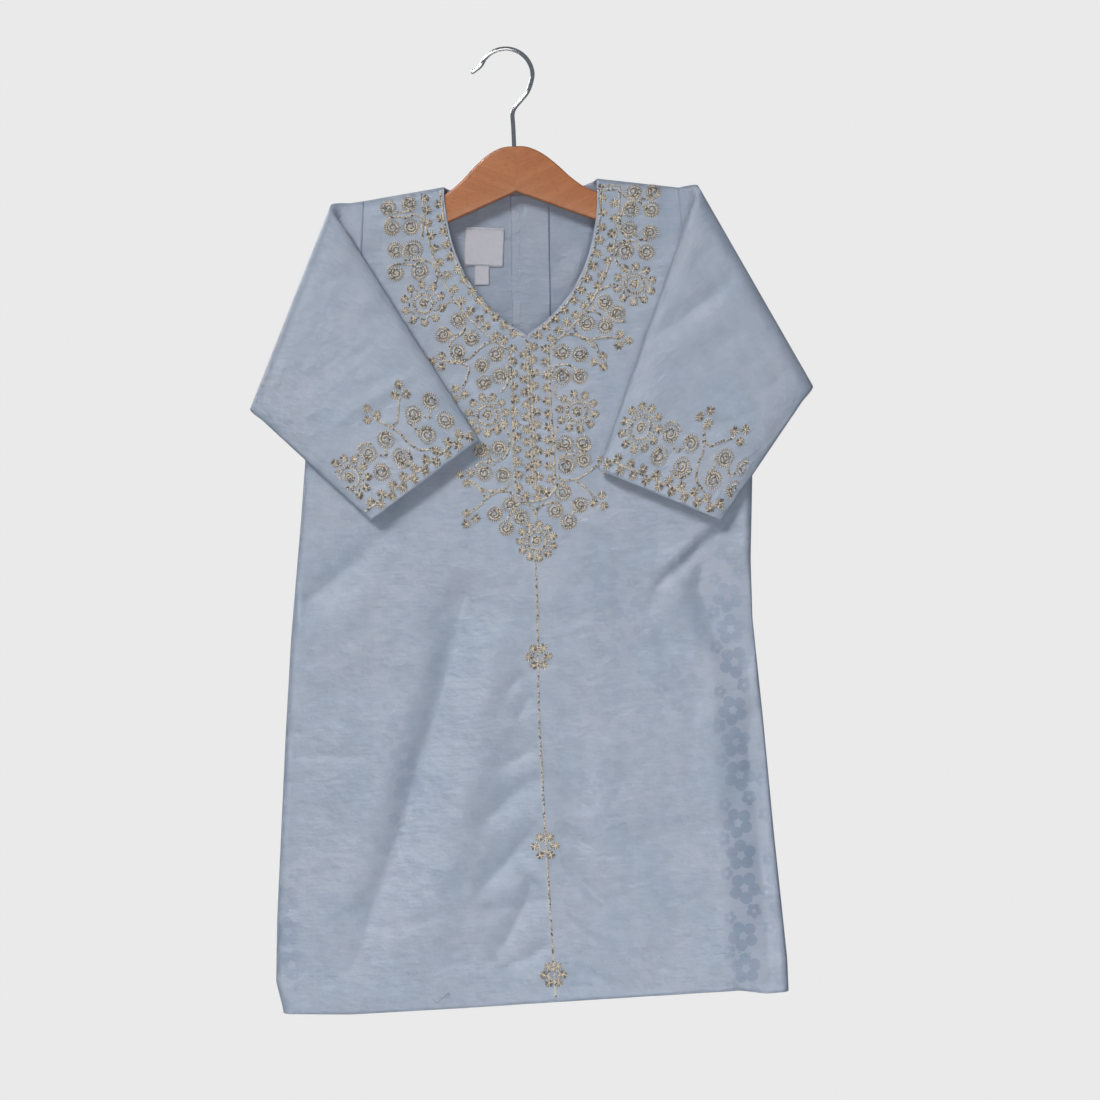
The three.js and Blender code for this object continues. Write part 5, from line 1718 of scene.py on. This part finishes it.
def make_hook():
    """The bent wire, round in section, with a rounded tip."""
    line = hook_line()
    marks = lengths_along(line)
    total = marks[-1]
    bm = bmesh.new()

    def lay(along, around):
        place = eased(along, 0.4) * total
        x, z = place_on(line, marks, place)
        step = 0.4
        ahead_x, ahead_z = place_on(line, marks, place + step)
        back_x, back_z = place_on(line, marks, place - step)
        run_x, run_z = ahead_x - back_x, ahead_z - back_z
        size = np.hypot(run_x, run_z)
        across_x, across_z = -run_z / size, run_x / size
        radius = WIRE_RADIUS * quarter_round(total - place, 0.9) * quarter_round(place + 0.2, 0.4)
        angle = 2 * np.pi * around
        out = radius * np.cos(angle)
        places = np.stack([x + out * across_x, radius * np.sin(angle), z + out * across_z], axis=-1)
        return places, np.stack([place, angle], axis=-1)
    lay_grid(bm, 260, 20, lay)
    bmesh.ops.remove_doubles(bm, verts=bm.verts, dist=1e-3)
    bmesh.ops.holes_fill(bm, edges=[e for e in bm.edges if e.is_boundary], sides=0)
    bmesh.ops.recalc_face_normals(bm, faces=bm.faces)
    piece = link("hook_wire", bm, wire)
    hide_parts("hanger_hook")


make_hanger_half(-1, "hanger_left", wood_left)
make_hanger_half(1, "hanger_right", wood_right)
make_hook()

# ---------------------------------------------------------------- floor, light and background

PALE = 234
SKY_TINT, SKY_STRENGTH = (0.86, 0.95, 1.08, 1), 0.18
FLOOR_Z = -1.25
FLOOR_REACH = 1.25


def make_floor():
    bm = bmesh.new()
    bmesh.ops.create_circle(bm, cap_ends=True, segments=96, radius=FLOOR_REACH)
    bmesh.ops.translate(bm, vec=(0, 0, FLOOR_Z), verts=bm.verts)
    mesh = bpy.data.meshes.new("floor")
    bm.to_mesh(mesh)
    bm.free()
    floor = bpy.data.objects.new("floor", mesh)
    bpy.context.collection.objects.link(floor)
    nodes = Nodes("pale floor")
    place = nodes.node("TexCoord").outputs["Object"]
    color = nodes.mix(nodes.noise(place, 6, 2.0), paint(226, 226, 226), paint(232, 232, 232))
    mesh.materials.append(nodes.finish(color, 0.8))


def add_light(name, place, size, power, aim=(0.01, 0, -0.33), spread=math.pi):
    lamp = bpy.data.lights.new(name, "AREA")
    lamp.shape = "SQUARE"
    lamp.size = size
    lamp.energy = power
    lamp.spread = spread
    holder = bpy.data.objects.new(name, lamp)
    holder.location = place
    holder.rotation_euler = (Vector(aim) - Vector(place)).to_track_quat("-Z", "Y").to_euler()
    bpy.context.collection.objects.link(holder)


def light_room():
    """Soft studio light from the upper left that falls fully on the skirt, a fill from the front, and a
    plain pale background."""
    add_light("key light", (-1.9, -4.0, 2.2), 2.0, 7.3, aim=(0.02, 0, -0.78), spread=math.radians(22))
    add_light("front fill", (0.3, -3.2, -1.0), 1.5, 21)
    add_light("back light", (-1.5, 2.3, 1.3), 1.4, 36)
    world = bpy.data.worlds.new("studio")
    bpy.context.scene.world = world
    world.use_nodes = True
    tree = world.node_tree
    for made in list(tree.nodes):
        tree.nodes.remove(made)
    seen = tree.nodes.new("ShaderNodeBackground")
    seen.inputs["Color"].default_value = paint(PALE, PALE, PALE)
    soft = tree.nodes.new("ShaderNodeBackground")
    soft.inputs["Color"].default_value = SKY_TINT
    soft.inputs["Strength"].default_value = SKY_STRENGTH
    chooser = tree.nodes.new("ShaderNodeMixShader")
    ray = tree.nodes.new("ShaderNodeLightPath")
    end = tree.nodes.new("ShaderNodeOutputWorld")
    tree.links.new(ray.outputs["Is Camera Ray"], chooser.inputs[0])
    tree.links.new(soft.outputs[0], chooser.inputs[1])
    tree.links.new(seen.outputs[0], chooser.inputs[2])
    tree.links.new(chooser.outputs[0], end.inputs[0])
    bpy.context.scene.view_settings.view_transform = "Standard"


make_floor()
light_room()
